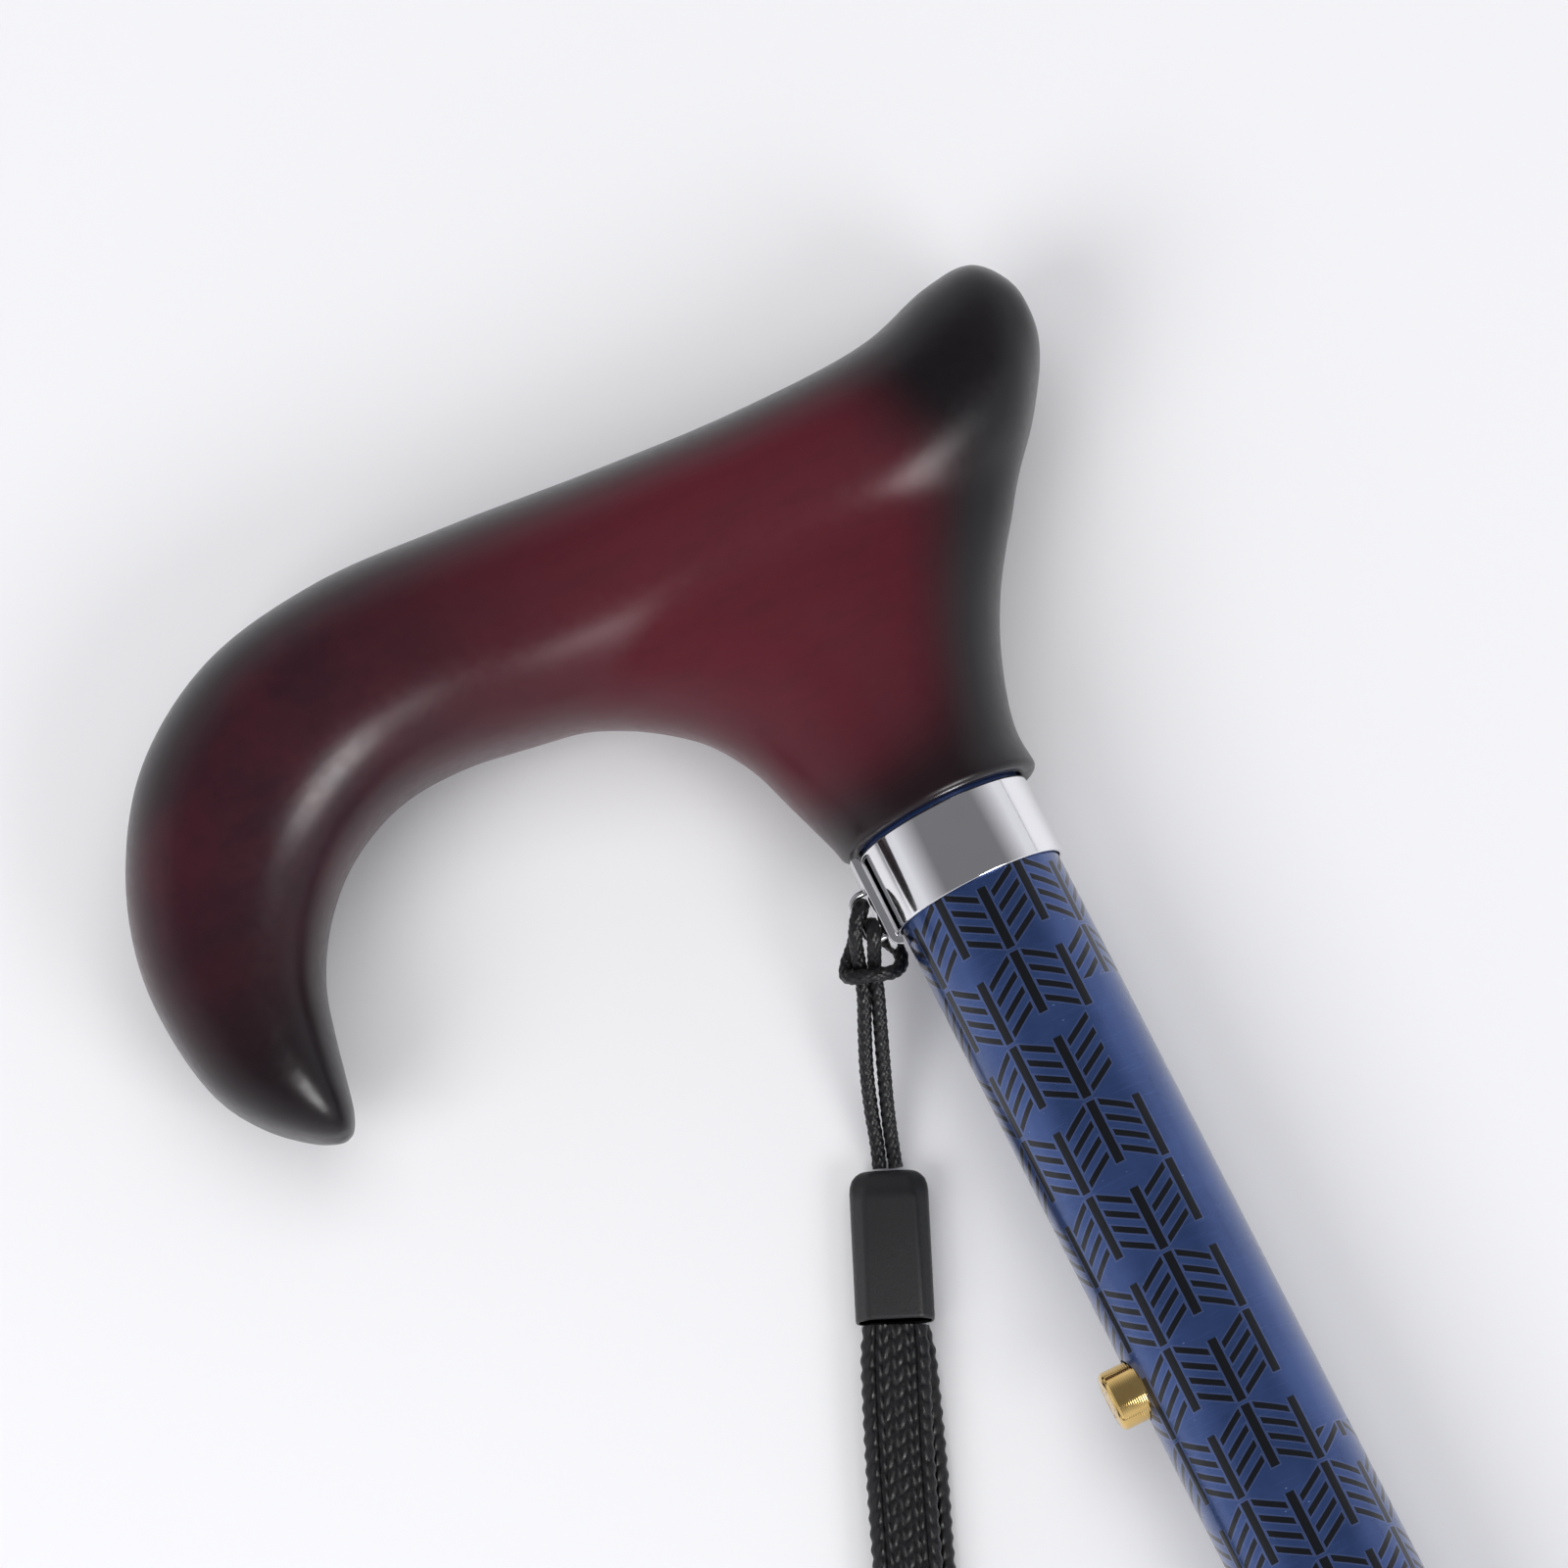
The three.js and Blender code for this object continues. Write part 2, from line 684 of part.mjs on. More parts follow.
function wristBand() {
  const out = bandRun(0.5, BAND_OVER);
  const home = bandRun(-1.1, BAND_UNDER).reverse();
  const route = [...out, ...BAND_FOLD, ...home];
  const lowered = route.map(([x, y, height]) => [x, y, height - AXIS_HEIGHT]);
  return restOnTable(along(lowered, flatSection(BAND_THICK / 2, BAND_WIDTH / 2, 0.5), 72));
}
place(strap, "wrist_band", wristBand(), blackCord);

// ---------------------------------------------------------------- the whole cane
const middle = new THREE.Box3().setFromObject(cane, true).getCenter(new THREE.Vector3());
const group = new THREE.Group();
group.add(cane, strap);
group.position.set(-middle.x, -middle.y, AXIS_HEIGHT);

export default group;
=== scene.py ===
"""Looks of a single point cane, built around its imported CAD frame."""

import json
import math

import bmesh
import bpy
from mathutils import Matrix, Vector
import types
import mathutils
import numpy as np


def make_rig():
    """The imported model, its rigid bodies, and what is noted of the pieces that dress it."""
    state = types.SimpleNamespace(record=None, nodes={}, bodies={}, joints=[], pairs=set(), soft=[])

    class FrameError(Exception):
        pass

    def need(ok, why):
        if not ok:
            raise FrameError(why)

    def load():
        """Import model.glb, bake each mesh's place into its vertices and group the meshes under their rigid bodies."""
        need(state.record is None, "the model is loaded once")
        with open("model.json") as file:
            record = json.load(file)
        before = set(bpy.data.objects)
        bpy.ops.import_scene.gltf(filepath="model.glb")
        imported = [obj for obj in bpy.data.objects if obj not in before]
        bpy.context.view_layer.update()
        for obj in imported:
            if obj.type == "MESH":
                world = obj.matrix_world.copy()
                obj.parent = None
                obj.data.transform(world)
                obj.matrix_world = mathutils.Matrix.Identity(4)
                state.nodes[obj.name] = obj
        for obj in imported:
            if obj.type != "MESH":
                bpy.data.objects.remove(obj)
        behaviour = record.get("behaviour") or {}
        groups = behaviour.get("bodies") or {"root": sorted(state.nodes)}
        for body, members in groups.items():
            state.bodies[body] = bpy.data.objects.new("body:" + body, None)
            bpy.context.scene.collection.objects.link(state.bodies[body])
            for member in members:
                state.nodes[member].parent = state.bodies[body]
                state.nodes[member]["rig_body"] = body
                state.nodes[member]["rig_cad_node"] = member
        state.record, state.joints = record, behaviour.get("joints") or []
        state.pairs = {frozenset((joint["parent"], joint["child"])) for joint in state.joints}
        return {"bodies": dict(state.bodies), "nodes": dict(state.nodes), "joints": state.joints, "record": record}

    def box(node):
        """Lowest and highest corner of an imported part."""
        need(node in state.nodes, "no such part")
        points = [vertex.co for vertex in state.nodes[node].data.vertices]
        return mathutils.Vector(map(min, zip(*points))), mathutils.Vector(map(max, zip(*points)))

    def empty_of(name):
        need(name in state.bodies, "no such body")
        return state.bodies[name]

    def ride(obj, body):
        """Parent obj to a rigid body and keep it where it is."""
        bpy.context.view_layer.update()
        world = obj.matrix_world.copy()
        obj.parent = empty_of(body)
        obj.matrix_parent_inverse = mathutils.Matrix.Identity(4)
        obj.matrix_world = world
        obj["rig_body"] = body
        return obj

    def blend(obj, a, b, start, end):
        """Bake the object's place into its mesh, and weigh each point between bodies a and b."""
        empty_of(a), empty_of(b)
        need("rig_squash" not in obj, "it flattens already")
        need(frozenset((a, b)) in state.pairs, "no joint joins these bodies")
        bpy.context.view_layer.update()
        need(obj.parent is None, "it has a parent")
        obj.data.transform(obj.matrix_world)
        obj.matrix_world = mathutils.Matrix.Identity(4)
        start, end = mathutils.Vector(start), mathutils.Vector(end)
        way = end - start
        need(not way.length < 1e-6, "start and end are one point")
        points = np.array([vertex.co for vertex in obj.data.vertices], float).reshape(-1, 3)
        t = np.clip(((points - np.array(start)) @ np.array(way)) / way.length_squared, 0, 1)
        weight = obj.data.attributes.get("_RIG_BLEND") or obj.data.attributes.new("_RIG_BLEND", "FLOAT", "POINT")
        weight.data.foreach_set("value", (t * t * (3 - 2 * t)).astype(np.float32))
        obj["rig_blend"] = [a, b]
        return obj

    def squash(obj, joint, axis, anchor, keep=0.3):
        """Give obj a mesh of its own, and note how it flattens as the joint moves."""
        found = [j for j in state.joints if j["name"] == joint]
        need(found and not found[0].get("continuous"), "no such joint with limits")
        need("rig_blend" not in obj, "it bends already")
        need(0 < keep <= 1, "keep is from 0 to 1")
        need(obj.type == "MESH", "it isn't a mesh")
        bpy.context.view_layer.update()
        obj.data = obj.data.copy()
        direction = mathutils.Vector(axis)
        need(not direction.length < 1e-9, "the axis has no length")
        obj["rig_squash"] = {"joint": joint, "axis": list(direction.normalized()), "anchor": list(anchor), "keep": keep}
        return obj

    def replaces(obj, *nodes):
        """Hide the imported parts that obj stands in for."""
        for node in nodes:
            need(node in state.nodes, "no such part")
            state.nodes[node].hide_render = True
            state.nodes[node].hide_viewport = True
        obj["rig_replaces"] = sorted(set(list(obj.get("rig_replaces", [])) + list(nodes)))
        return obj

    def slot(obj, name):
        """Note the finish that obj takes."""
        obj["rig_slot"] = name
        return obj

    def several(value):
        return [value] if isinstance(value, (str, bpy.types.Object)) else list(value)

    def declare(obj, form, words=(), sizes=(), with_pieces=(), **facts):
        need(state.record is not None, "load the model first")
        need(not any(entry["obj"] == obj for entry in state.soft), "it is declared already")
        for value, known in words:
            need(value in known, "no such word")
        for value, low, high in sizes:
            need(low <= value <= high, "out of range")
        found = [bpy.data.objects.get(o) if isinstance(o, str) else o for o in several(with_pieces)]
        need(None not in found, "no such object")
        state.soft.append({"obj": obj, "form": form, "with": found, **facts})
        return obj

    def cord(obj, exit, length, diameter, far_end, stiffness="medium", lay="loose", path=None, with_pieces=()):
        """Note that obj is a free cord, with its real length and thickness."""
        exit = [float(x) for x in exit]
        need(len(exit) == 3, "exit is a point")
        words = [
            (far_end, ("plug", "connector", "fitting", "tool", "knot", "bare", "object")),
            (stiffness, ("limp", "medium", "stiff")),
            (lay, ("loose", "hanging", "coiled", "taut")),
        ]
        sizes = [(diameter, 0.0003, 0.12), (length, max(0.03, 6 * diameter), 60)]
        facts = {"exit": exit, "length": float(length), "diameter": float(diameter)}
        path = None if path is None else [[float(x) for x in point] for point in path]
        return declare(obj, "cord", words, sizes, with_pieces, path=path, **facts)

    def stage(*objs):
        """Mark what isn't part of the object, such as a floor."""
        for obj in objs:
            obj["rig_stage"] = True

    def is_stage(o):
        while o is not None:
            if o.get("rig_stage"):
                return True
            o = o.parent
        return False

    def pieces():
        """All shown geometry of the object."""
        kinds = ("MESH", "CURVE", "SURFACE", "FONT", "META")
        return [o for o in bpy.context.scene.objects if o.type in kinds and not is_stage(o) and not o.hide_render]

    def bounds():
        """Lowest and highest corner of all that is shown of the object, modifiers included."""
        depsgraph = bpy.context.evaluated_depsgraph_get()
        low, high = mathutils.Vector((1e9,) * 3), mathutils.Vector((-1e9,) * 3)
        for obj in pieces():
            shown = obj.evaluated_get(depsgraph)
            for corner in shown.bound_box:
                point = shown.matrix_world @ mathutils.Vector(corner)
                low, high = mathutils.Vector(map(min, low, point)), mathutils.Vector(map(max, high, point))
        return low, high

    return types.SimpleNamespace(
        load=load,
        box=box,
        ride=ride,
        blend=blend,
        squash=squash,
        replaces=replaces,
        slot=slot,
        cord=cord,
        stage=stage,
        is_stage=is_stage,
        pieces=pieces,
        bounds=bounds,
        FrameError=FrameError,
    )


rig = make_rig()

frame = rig.load()
cad_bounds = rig.bounds()

# ---------------- driving dimensions
# Lengths are in millimetres in the shaft's own frame: along is up the shaft from the collar's lower
# edge towards the handle, hook is the way the handle's hook points, up is above the shaft's axis.
MM = 0.001
AXIS_HEIGHT = 16

TUBE_R = 11
TUBE_WALL = 1.2
UPPER_TUBE_TOP = 42
UPPER_TUBE_END = -400
LOWER_R = 9.5
BUTTON_AT = -65
BUTTON_R = 3.9
BUTTON_TOP = 14.6
HOLE_COUNT = 7
HOLE_PITCH = 30
HOLE_R = 4.2

COLLAR_R = 11.65
COLLAR_HEIGHT = 10.7
CLIP_INNER = 12.0
CLIP_OUTER = 13.1
CLIP_WIDTH = 5
RIM_AT = 11.2
SOCKET_R = 11.4
SOCKET_TOP = 44
GRIP_FULLNESS = 2.3  # 2 would make the grip's sections ellipses

CANE_TOP = 73.4
CANE_LENGTH = 737
SOLE = CANE_TOP - CANE_LENGTH
TIP_FLOOR = SOLE + 6.4
LOWER_TUBE_TOP = BUTTON_AT + 25
LOWER_TUBE_END = SOLE + 8.2
RUNNING_R = LOWER_R + 0.35  # what the lower tube slides through

CORD_DIAMETER = 1.8
BAND_WIDTH = 8.8
BAND_THICK = 2.3
CONNECTOR = {"length": 19.2, "width": 10, "thick": 6.5, "along": -33.6, "hook": 29.1, "turn": 156.4}

# The printed motif: columns of stems down the tube, with slanting barbs between them.
MOTIF_COLUMNS = 12
# Patches with no motif: the middle's turn and half the width in degrees, then the middle below the
# collar and the length.
PLAIN_PATCHES = [(-54.6, 25.6, 48.5, 63), (-25.5, 5, 25, 9.2)]
MOTIF_TURN = 4.6  # degrees from straight up to the middle column
MOTIF_PERIOD = 21.1
MOTIF_START = 1.2  # below the collar
STEM_LENGTH = 8.5
STEM_GAP = 0.55
STEM_WIDTH = 1.16
BARB_COUNT = 4
BARB_PITCH = 2.14
BARB_WIDTH = 0.76
BARB_REACH = 1.93
BARB_SLOPE = 0.61
BARB_START = 0.2  # after a period's start
OUTLINE = 0.17

collar_low, collar_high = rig.box("collar")
AXIS_START = Vector((
    collar_low.x,
    (collar_low.y + collar_high.y) / 2,
    (collar_low.z + collar_high.z) / 2,
))


def at(along, hook, up=0.0):
    """A point of the shaft's frame, in the row frame."""
    return AXIS_START + Vector((along, hook, up)) * MM


def on_table(along, hook, height):
    """The same for a point given by its height over the table."""
    return at(along, hook, height - AXIS_HEIGHT)


# ---------------- camera
CAMERA_TURN = 243.66  # degrees, of the picture's left-to-right direction from +X
CAMERA_ELEVATION = 77.7
CAMERA_DISTANCE = 1.0
CAMERA_LENS = 181.5
CAMERA_AIM = (23.67, 15.93)


def make_camera():
    turn = math.radians(CAMERA_TURN)
    right = Vector((math.cos(turn), math.sin(turn), 0))
    inward = Vector((-right.y, right.x, 0))
    rise = math.radians(CAMERA_ELEVATION)
    back = Vector((0, 0, 1)) * math.sin(rise) - inward * math.cos(rise)
    upward = back.cross(right)
    data = bpy.data.cameras.new("camera")
    data.lens = CAMERA_LENS
    data.sensor_width = 36
    data.clip_end = 20
    camera = bpy.data.objects.new("camera", data)
    camera.matrix_world = Matrix((
        (right.x, upward.x, back.x, 0),
        (right.y, upward.y, back.y, 0),
        (right.z, upward.z, back.z, 0),
        (0, 0, 0, 1),
    ))
    camera.location = at(*CAMERA_AIM) + back * CAMERA_DISTANCE
    bpy.context.scene.collection.objects.link(camera)
    bpy.context.scene.camera = camera
    return right, inward


picture_right, picture_up = make_camera()


# ---------------- mesh helpers
def mesh_object(name, points, faces, sharp=40):
    """A smooth-shaded mesh with edges over sharp degrees kept crisp."""
    mesh = bpy.data.meshes.new(name)
    mesh.from_pydata(points, [], faces)
    mesh.update()
    mesh.shade_smooth()
    mesh.set_sharp_from_angle(angle=math.radians(sharp))
    made = bpy.data.objects.new(name, mesh)
    bpy.context.scene.collection.objects.link(made)
    return made


def skin(name, rings, loop=False, sharp=40):
    """One closed skin over rings of equally many points. A loop joins the last ring to the first."""
    sides = len(rings[0])
    points = [point for ring in rings for point in ring]
    faces = []
    for i in range(len(rings) if loop else len(rings) - 1):
        here = i * sides
        there = (i + 1) % len(rings) * sides
        for j in range(sides):
            k = (j + 1) % sides
            faces.append((here + j, here + k, there + k, there + j))
    if not loop:
        faces.append(tuple(reversed(range(sides))))
        faces.append(tuple(range(len(points) - sides, len(points))))
    made = mesh_object(name, points, faces, sharp)
    face_outwards(made.data)
    made.data.set_sharp_from_angle(angle=math.radians(sharp))
    return made


def face_outwards(mesh):
    """Turns all faces of a closed mesh the right way out."""
    work = bmesh.new()
    work.from_mesh(mesh)
    bmesh.ops.recalc_face_normals(work, faces=work.faces)
    if work.calc_volume(signed=True) < 0:
        bmesh.ops.reverse_faces(work, faces=work.faces)
    work.to_mesh(mesh)
    work.free()


def rounded(corners, radius=0.25, steps=4):
    """A closed profile with its corners rounded off."""
    result = []
    count = len(corners)
    for i, corner in enumerate(corners):
        here = Vector(corner[:2])
        before = Vector(corners[i - 1][:2])
        after = Vector(corners[(i + 1) % count][:2])
        size = corner[2] if len(corner) > 2 else radius
        reach_before = min(size, (before - here).length * 0.45)
        reach_after = min(size, (after - here).length * 0.45)
        first = here + (before - here).normalized() * reach_before
        last = here + (after - here).normalized() * reach_after
        for k in range(steps + 1):
            t = k / steps
            result.append(first * (1 - t) ** 2 + here * 2 * t * (1 - t) + last * t * t)
    return result


def angles_of(sides):
    """The angles of the points of a ring."""
    return [j * math.tau / sides for j in range(sides)]


def turned(name, profile, sides=128, sharp=40, place=at, loop=True):
    """A ring about the shaft's axis, or a full solid without loop: profile holds (radius, along)
    pairs, and place(along, across, up) puts the points where they belong."""
    rings = []
    for radius, along in profile:
        rings.append([place(along, radius * math.sin(a), radius * math.cos(a)) for a in angles_of(sides)])
    return skin(name, rings, loop=loop, sharp=sharp)


def between(start, end, leave, reach, t):
    """A point between two others, on the cubic that leaves one and reaches the other at these rates."""
    t2 = t * t
    t3 = t2 * t
    middle = start * (2 * t3 - 3 * t2 + 1) + end * (3 * t2 - 2 * t3)
    return middle + leave * (t3 - 2 * t2 + t) + reach * (t3 - t2)


def curve_point(points, part):
    """The point a part, 0 to 1, of the way through the segments of a centripetal Catmull-Rom curve."""
    last = len(points) - 1
    i = min(int(part * last), last - 1)
    t = part * last - i
    b, c = points[i], points[i + 1]
    a = points[i - 1] if i else b * 2 - c
    d = points[i + 2] if i + 2 <= last else c * 2 - b
    before, here, after = (max(math.sqrt((q - p).length), 1e-9) for p, q in ((a, b), (b, c), (c, d)))
    leave = ((b - a) / before - (c - a) / (before + here) + (c - b) / here) * here
    reach = ((c - b) / here - (d - b) / (here + after) + (d - c) / after) * here
    return between(b, c, leave, reach, t)


def curve_row(rows, part):
    """One row between the stations, read off smoothly."""
    last = len(rows) - 1
    i = min(int(part * last), last - 1)
    t = part * last - i
    a, b, c, d = (rows[min(max(k, 0), last)] for k in (i - 1, i, i + 1, i + 2))
    return between(b, c, (c - a) * 0.5, (d - b) * 0.5, t)


def smooth_route(points, step):
    """Evenly spaced points, about step apart, on a smooth curve, and the curve's length."""
    points = [Vector(point) for point in points]
    parts = 24 * (len(points) - 1)
    fine = [curve_point(points, i / parts) for i in range(parts + 1)]
    lengths = [0.0]
    for p, q in zip(fine, fine[1:]):
        lengths.append(lengths[-1] + (q - p).length)
    count = max(2, round(lengths[-1] / step))
    result = []
    k = 0
    for i in range(count + 1):
        want = lengths[-1] * i / count
        while k < len(fine) - 2 and lengths[k + 1] < want:
            k += 1
        part = (want - lengths[k]) / max(lengths[k + 1] - lengths[k], 1e-12)
        result.append(fine[k].lerp(fine[k + 1], part))
    return result, lengths[-1]


def route_frames(route, across, level=False):
    """For each point of a route, the across and upward directions, carried along without twisting.
    Level keeps the across direction parallel to the table."""
    frames = []
    for i in range(len(route)):
        ahead = (route[min(i + 1, len(route) - 1)] - route[max(i - 1, 0)]).normalized()
        flat = Vector((0, 0, 1)).cross(ahead)
        if level and flat.length > 0.2:
            across = flat if flat.dot(across) > 0 else -flat
        across = (across - ahead * across.dot(ahead)).normalized()
        frames.append((across, ahead.cross(across)))
    return frames


def swept(name, route, across, section, level=False, sharp=60):
    """A skin along a route: section(run) gives the (across, up) offsets at a distance along it."""
    rings = []
    run = 0.0
    for i, (side, lift) in enumerate(route_frames(route, across, level)):
        if i:
            run += (route[i] - route[i - 1]).length
        rings.append([route[i] + side * x + lift * y for x, y in section(run)])
    return skin(name, rings, sharp=sharp)


def clamp(value, low=0.0, high=1.0):
    return max(low, min(high, value))


def smoothstep(low, high, value):
    t = clamp((value - low) / (high - low))
    return t * t * (3 - 2 * t)


# ---------------- material helpers
class Wire:
    """A number inside a material's node tree, so that its sums read like sums."""

    def __init__(self, tree, socket):
        self.tree = tree
        self.socket = socket

    def math(self, operation, *others):
        node = self.tree.nodes.new("ShaderNodeMath")
        node.operation = operation
        for socket, value in zip(node.inputs, (self, *others)):
            if isinstance(value, Wire):
                self.tree.links.new(value.socket, socket)
            else:
                socket.default_value = value
        return Wire(self.tree, node.outputs[0])

    def __add__(self, other):
        return self.math("ADD", other)

    def __sub__(self, other):
        return self.math("SUBTRACT", other)

    def __mul__(self, other):
        return self.math("MULTIPLY", other)

    def __truediv__(self, other):
        return self.math("DIVIDE", other)

    def absolute(self):
        return self.math("ABSOLUTE")

    def least(self, other):
        return self.math("MINIMUM", other)

    def most(self, other):
        return self.math("MAXIMUM", other)

    def rest_after(self, period):
        """What is left over after whole periods, from 0 up to period."""
        return self.math("FLOORED_MODULO", period)

    def ramp(self, low, high, to_low=0.0, to_high=1.0):
        """Runs from to_low at low to to_high at high, and is flat outside."""
        node = self.tree.nodes.new("ShaderNodeMapRange")
        self.tree.links.new(self.socket, node.inputs["Value"])
        for name, value in (("From Min", low), ("From Max", high), ("To Min", to_low), ("To Max", to_high)):
            node.inputs[name].default_value = value
        return Wire(self.tree, node.outputs["Result"])


class Finish:
    """A material in the making, around its Principled shader."""

    def __init__(self, name, **constants):
        self.material = bpy.data.materials.new(name)
        self.material.use_nodes = True
        self.tree = self.material.node_tree
        self.shader = self.tree.nodes["Principled BSDF"]
        for socket, value in constants.items():
            target = self.shader.inputs[socket.replace("_", " ").title().replace("Ior", "IOR")]
            target.default_value = (*value, 1) if isinstance(value, tuple) else value
        coordinates = self.tree.nodes.new("ShaderNodeTexCoord")
        self.where = coordinates.outputs["Object"]

    def node(self, kind, **settings):
        made = self.tree.nodes.new(kind)
        for name, value in settings.items():
            if name in made.inputs:
                made.inputs[name].default_value = value
            else:
                setattr(made, name, value)
        return made

    def noise(self, scale, detail=3.0, roughness=0.5, stretch=(1, 1, 1)):
        """Soft noise over the object; scale is lumps per metre."""
        mapping = self.node("ShaderNodeMapping", Scale=stretch)
        self.tree.links.new(self.where, mapping.inputs["Vector"])
        made = self.node("ShaderNodeTexNoise", Scale=scale, Detail=detail, Roughness=roughness)
        self.tree.links.new(mapping.outputs["Vector"], made.inputs["Vector"])
        return Wire(self.tree, made.outputs["Fac"])

    def cells(self, scale, stretch=(1, 1, 1)):
        """Distance to the nearest of many scattered points."""
        mapping = self.node("ShaderNodeMapping", Scale=stretch)
        self.tree.links.new(self.where, mapping.inputs["Vector"])
        made = self.node("ShaderNodeTexVoronoi", Scale=scale)
        self.tree.links.new(mapping.outputs["Vector"], made.inputs["Vector"])
        return Wire(self.tree, made.outputs["Distance"])

    def attribute(self, name):
        made = self.node("ShaderNodeAttribute", attribute_name=name)
        return Wire(self.tree, made.outputs["Fac"])

    def coordinates(self):
        """The three coordinates of the shaft's frame, in millimetres."""
        parts = self.node("ShaderNodeSeparateXYZ")
        self.tree.links.new(self.where, parts.inputs[0])
        wires = [Wire(self.tree, output) for output in parts.outputs]
        return [(wire - start) * (1 / MM) for wire, start in zip(wires, AXIS_START)]

    def mix(self, amount, first, second):
        """A colour between two others; each is three numbers or another mix."""
        made = self.node("ShaderNodeMix", data_type="RGBA")
        self.tree.links.new(amount.socket, made.inputs[0])
        for socket, colour in ((made.inputs[6], first), (made.inputs[7], second)):
            if isinstance(colour, tuple):
                socket.default_value = (*colour, 1)
            else:
                self.tree.links.new(colour, socket)
        return made.outputs[2]

    def link(self, source, socket):
        self.tree.links.new(source.socket if isinstance(source, Wire) else source, self.shader.inputs[socket])

    def bump(self, height, distance):
        """Relief from a height of 0 to 1, distance metres deep."""
        made = self.node("ShaderNodeBump", Strength=1.0, Distance=distance)
        self.tree.links.new(height.socket, made.inputs["Height"])
        self.tree.links.new(made.outputs[0], self.shader.inputs["Normal"])


def paint(piece, material):
    piece.data.materials.clear()
    piece.data.materials.append(material)


def finish_piece(piece, material, body, slot, *replaced):
    """Gives a piece its finish, its body, its slot and the CAD nodes that it stands for."""
    paint(piece, material)
    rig.ride(piece, body)
    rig.slot(piece, slot)
    if replaced:
        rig.replaces(piece, *replaced)


# ---------------- materials
def lacquer():
    """Burgundy stain with black sprayed on at the rim, the hook's tip and the tail, and painted shade along the top and
    back edges, under a satin clear coat.
    """
    made = Finish("lacquer", coat_weight=0.12, coat_roughness=0.24, specular_ior_level=0.32)
    # This attribute holds both the sprayed black and the painted shade along the top and back edges.
    spray_and_shade = made.attribute("spray_and_shade")
    cloud = made.noise(90, detail=5, roughness=0.65)
    grain = made.noise(420, detail=4, roughness=0.6, stretch=(1, 0.25, 1))
    deep = made.mix(made.attribute("warmth"), (0.022, 0.0035, 0.0085), (0.082, 0.0055, 0.013))
    red = made.mix(cloud.ramp(0.4, 0.75, 0.0, 0.3), deep, (0.095, 0.0075, 0.0165))
    stained = made.mix(grain.ramp(0.45, 0.75, 0.0, 0.35), red, (0.045, 0.006, 0.011))
    shade = (spray_and_shade + (cloud - 0.5) * 0.12).ramp(0.0, 1.0)
    made.link(made.mix(shade, stained, (0.0035, 0.0022, 0.0035)), "Base Color")
    made.link(made.noise(700, detail=2).ramp(0.3, 0.7, 0.3, 0.36), "Roughness")
    made.bump(made.noise(160, detail=2), 0.00002)
    return made.material


def chrome():
    made = Finish("chrome", metallic=1.0)
    smear = made.noise(60, detail=4, roughness=0.6)
    fine = made.noise(1500, detail=2, stretch=(0.1, 1, 1))
    made.link(made.mix(smear.ramp(0.3, 0.7), (0.84, 0.84, 0.86), (0.9, 0.9, 0.915)), "Base Color")
    made.link((smear * 0.05 + fine * 0.05).ramp(0.0, 0.1, 0.05, 0.12), "Roughness")
    return made.material


def motif_distance(made):
    """How far a point of the tube is outside the nearest black bar, in millimetres."""
    along, hook, up = made.coordinates()
    down = along * -1
    turn = hook.math("ARCTAN2", up) - math.radians(MOTIF_TURN)
    column = turn * (-MOTIF_COLUMNS / math.tau)
    gap = column.math("FLOOR")
    pitch = math.tau * TUBE_R / MOTIF_COLUMNS
    sideways = (column - gap - 0.5) * pitch
    parity = gap.rest_after(2.0).ramp(0.45, 0.55)
    side = sideways * (parity * -2 + 1)
    half = MOTIF_PERIOD / 2

    def stems(position, offset):
        across = position.absolute() - STEM_WIDTH / 2
        low = (down - MOTIF_START - offset).rest_after(MOTIF_PERIOD)
        second = low - STEM_LENGTH - STEM_GAP
        from_first = (low - STEM_LENGTH / 2).absolute()
        from_second = (second - STEM_LENGTH / 2).absolute()
        return across.most(from_first.least(from_second) - STEM_LENGTH / 2)

    def barb_set(offset, slope):
        start = MOTIF_START + offset + BARB_START - BARB_PITCH / 2
        run = (down - start + side * slope).rest_after(MOTIF_PERIOD)
        phase = run.rest_after(BARB_PITCH) - BARB_PITCH / 2
        steep = math.sqrt(1 + slope * slope)
        thick = phase.absolute() / steep - BARB_WIDTH / 2
        block = run - BARB_COUNT * BARB_PITCH
        reach = side.absolute() - BARB_REACH
        return thick.most(block).most(reach)

    distance = stems(side + pitch / 2, 0.0).least(stems(side - pitch / 2, half))
    distance = distance.least(barb_set(0.0, BARB_SLOPE))
    distance = distance.least(barb_set(half, -BARB_SLOPE))
    for patch_turn, half_turn, middle, length in PLAIN_PATCHES:
        across = (turn + math.radians(MOTIF_TURN - patch_turn)).absolute() - math.radians(half_turn)
        lengthwise = (down - middle).absolute() - length / 2
        distance = distance.most((across * TUBE_R).most(lengthwise) * -1)
    return distance


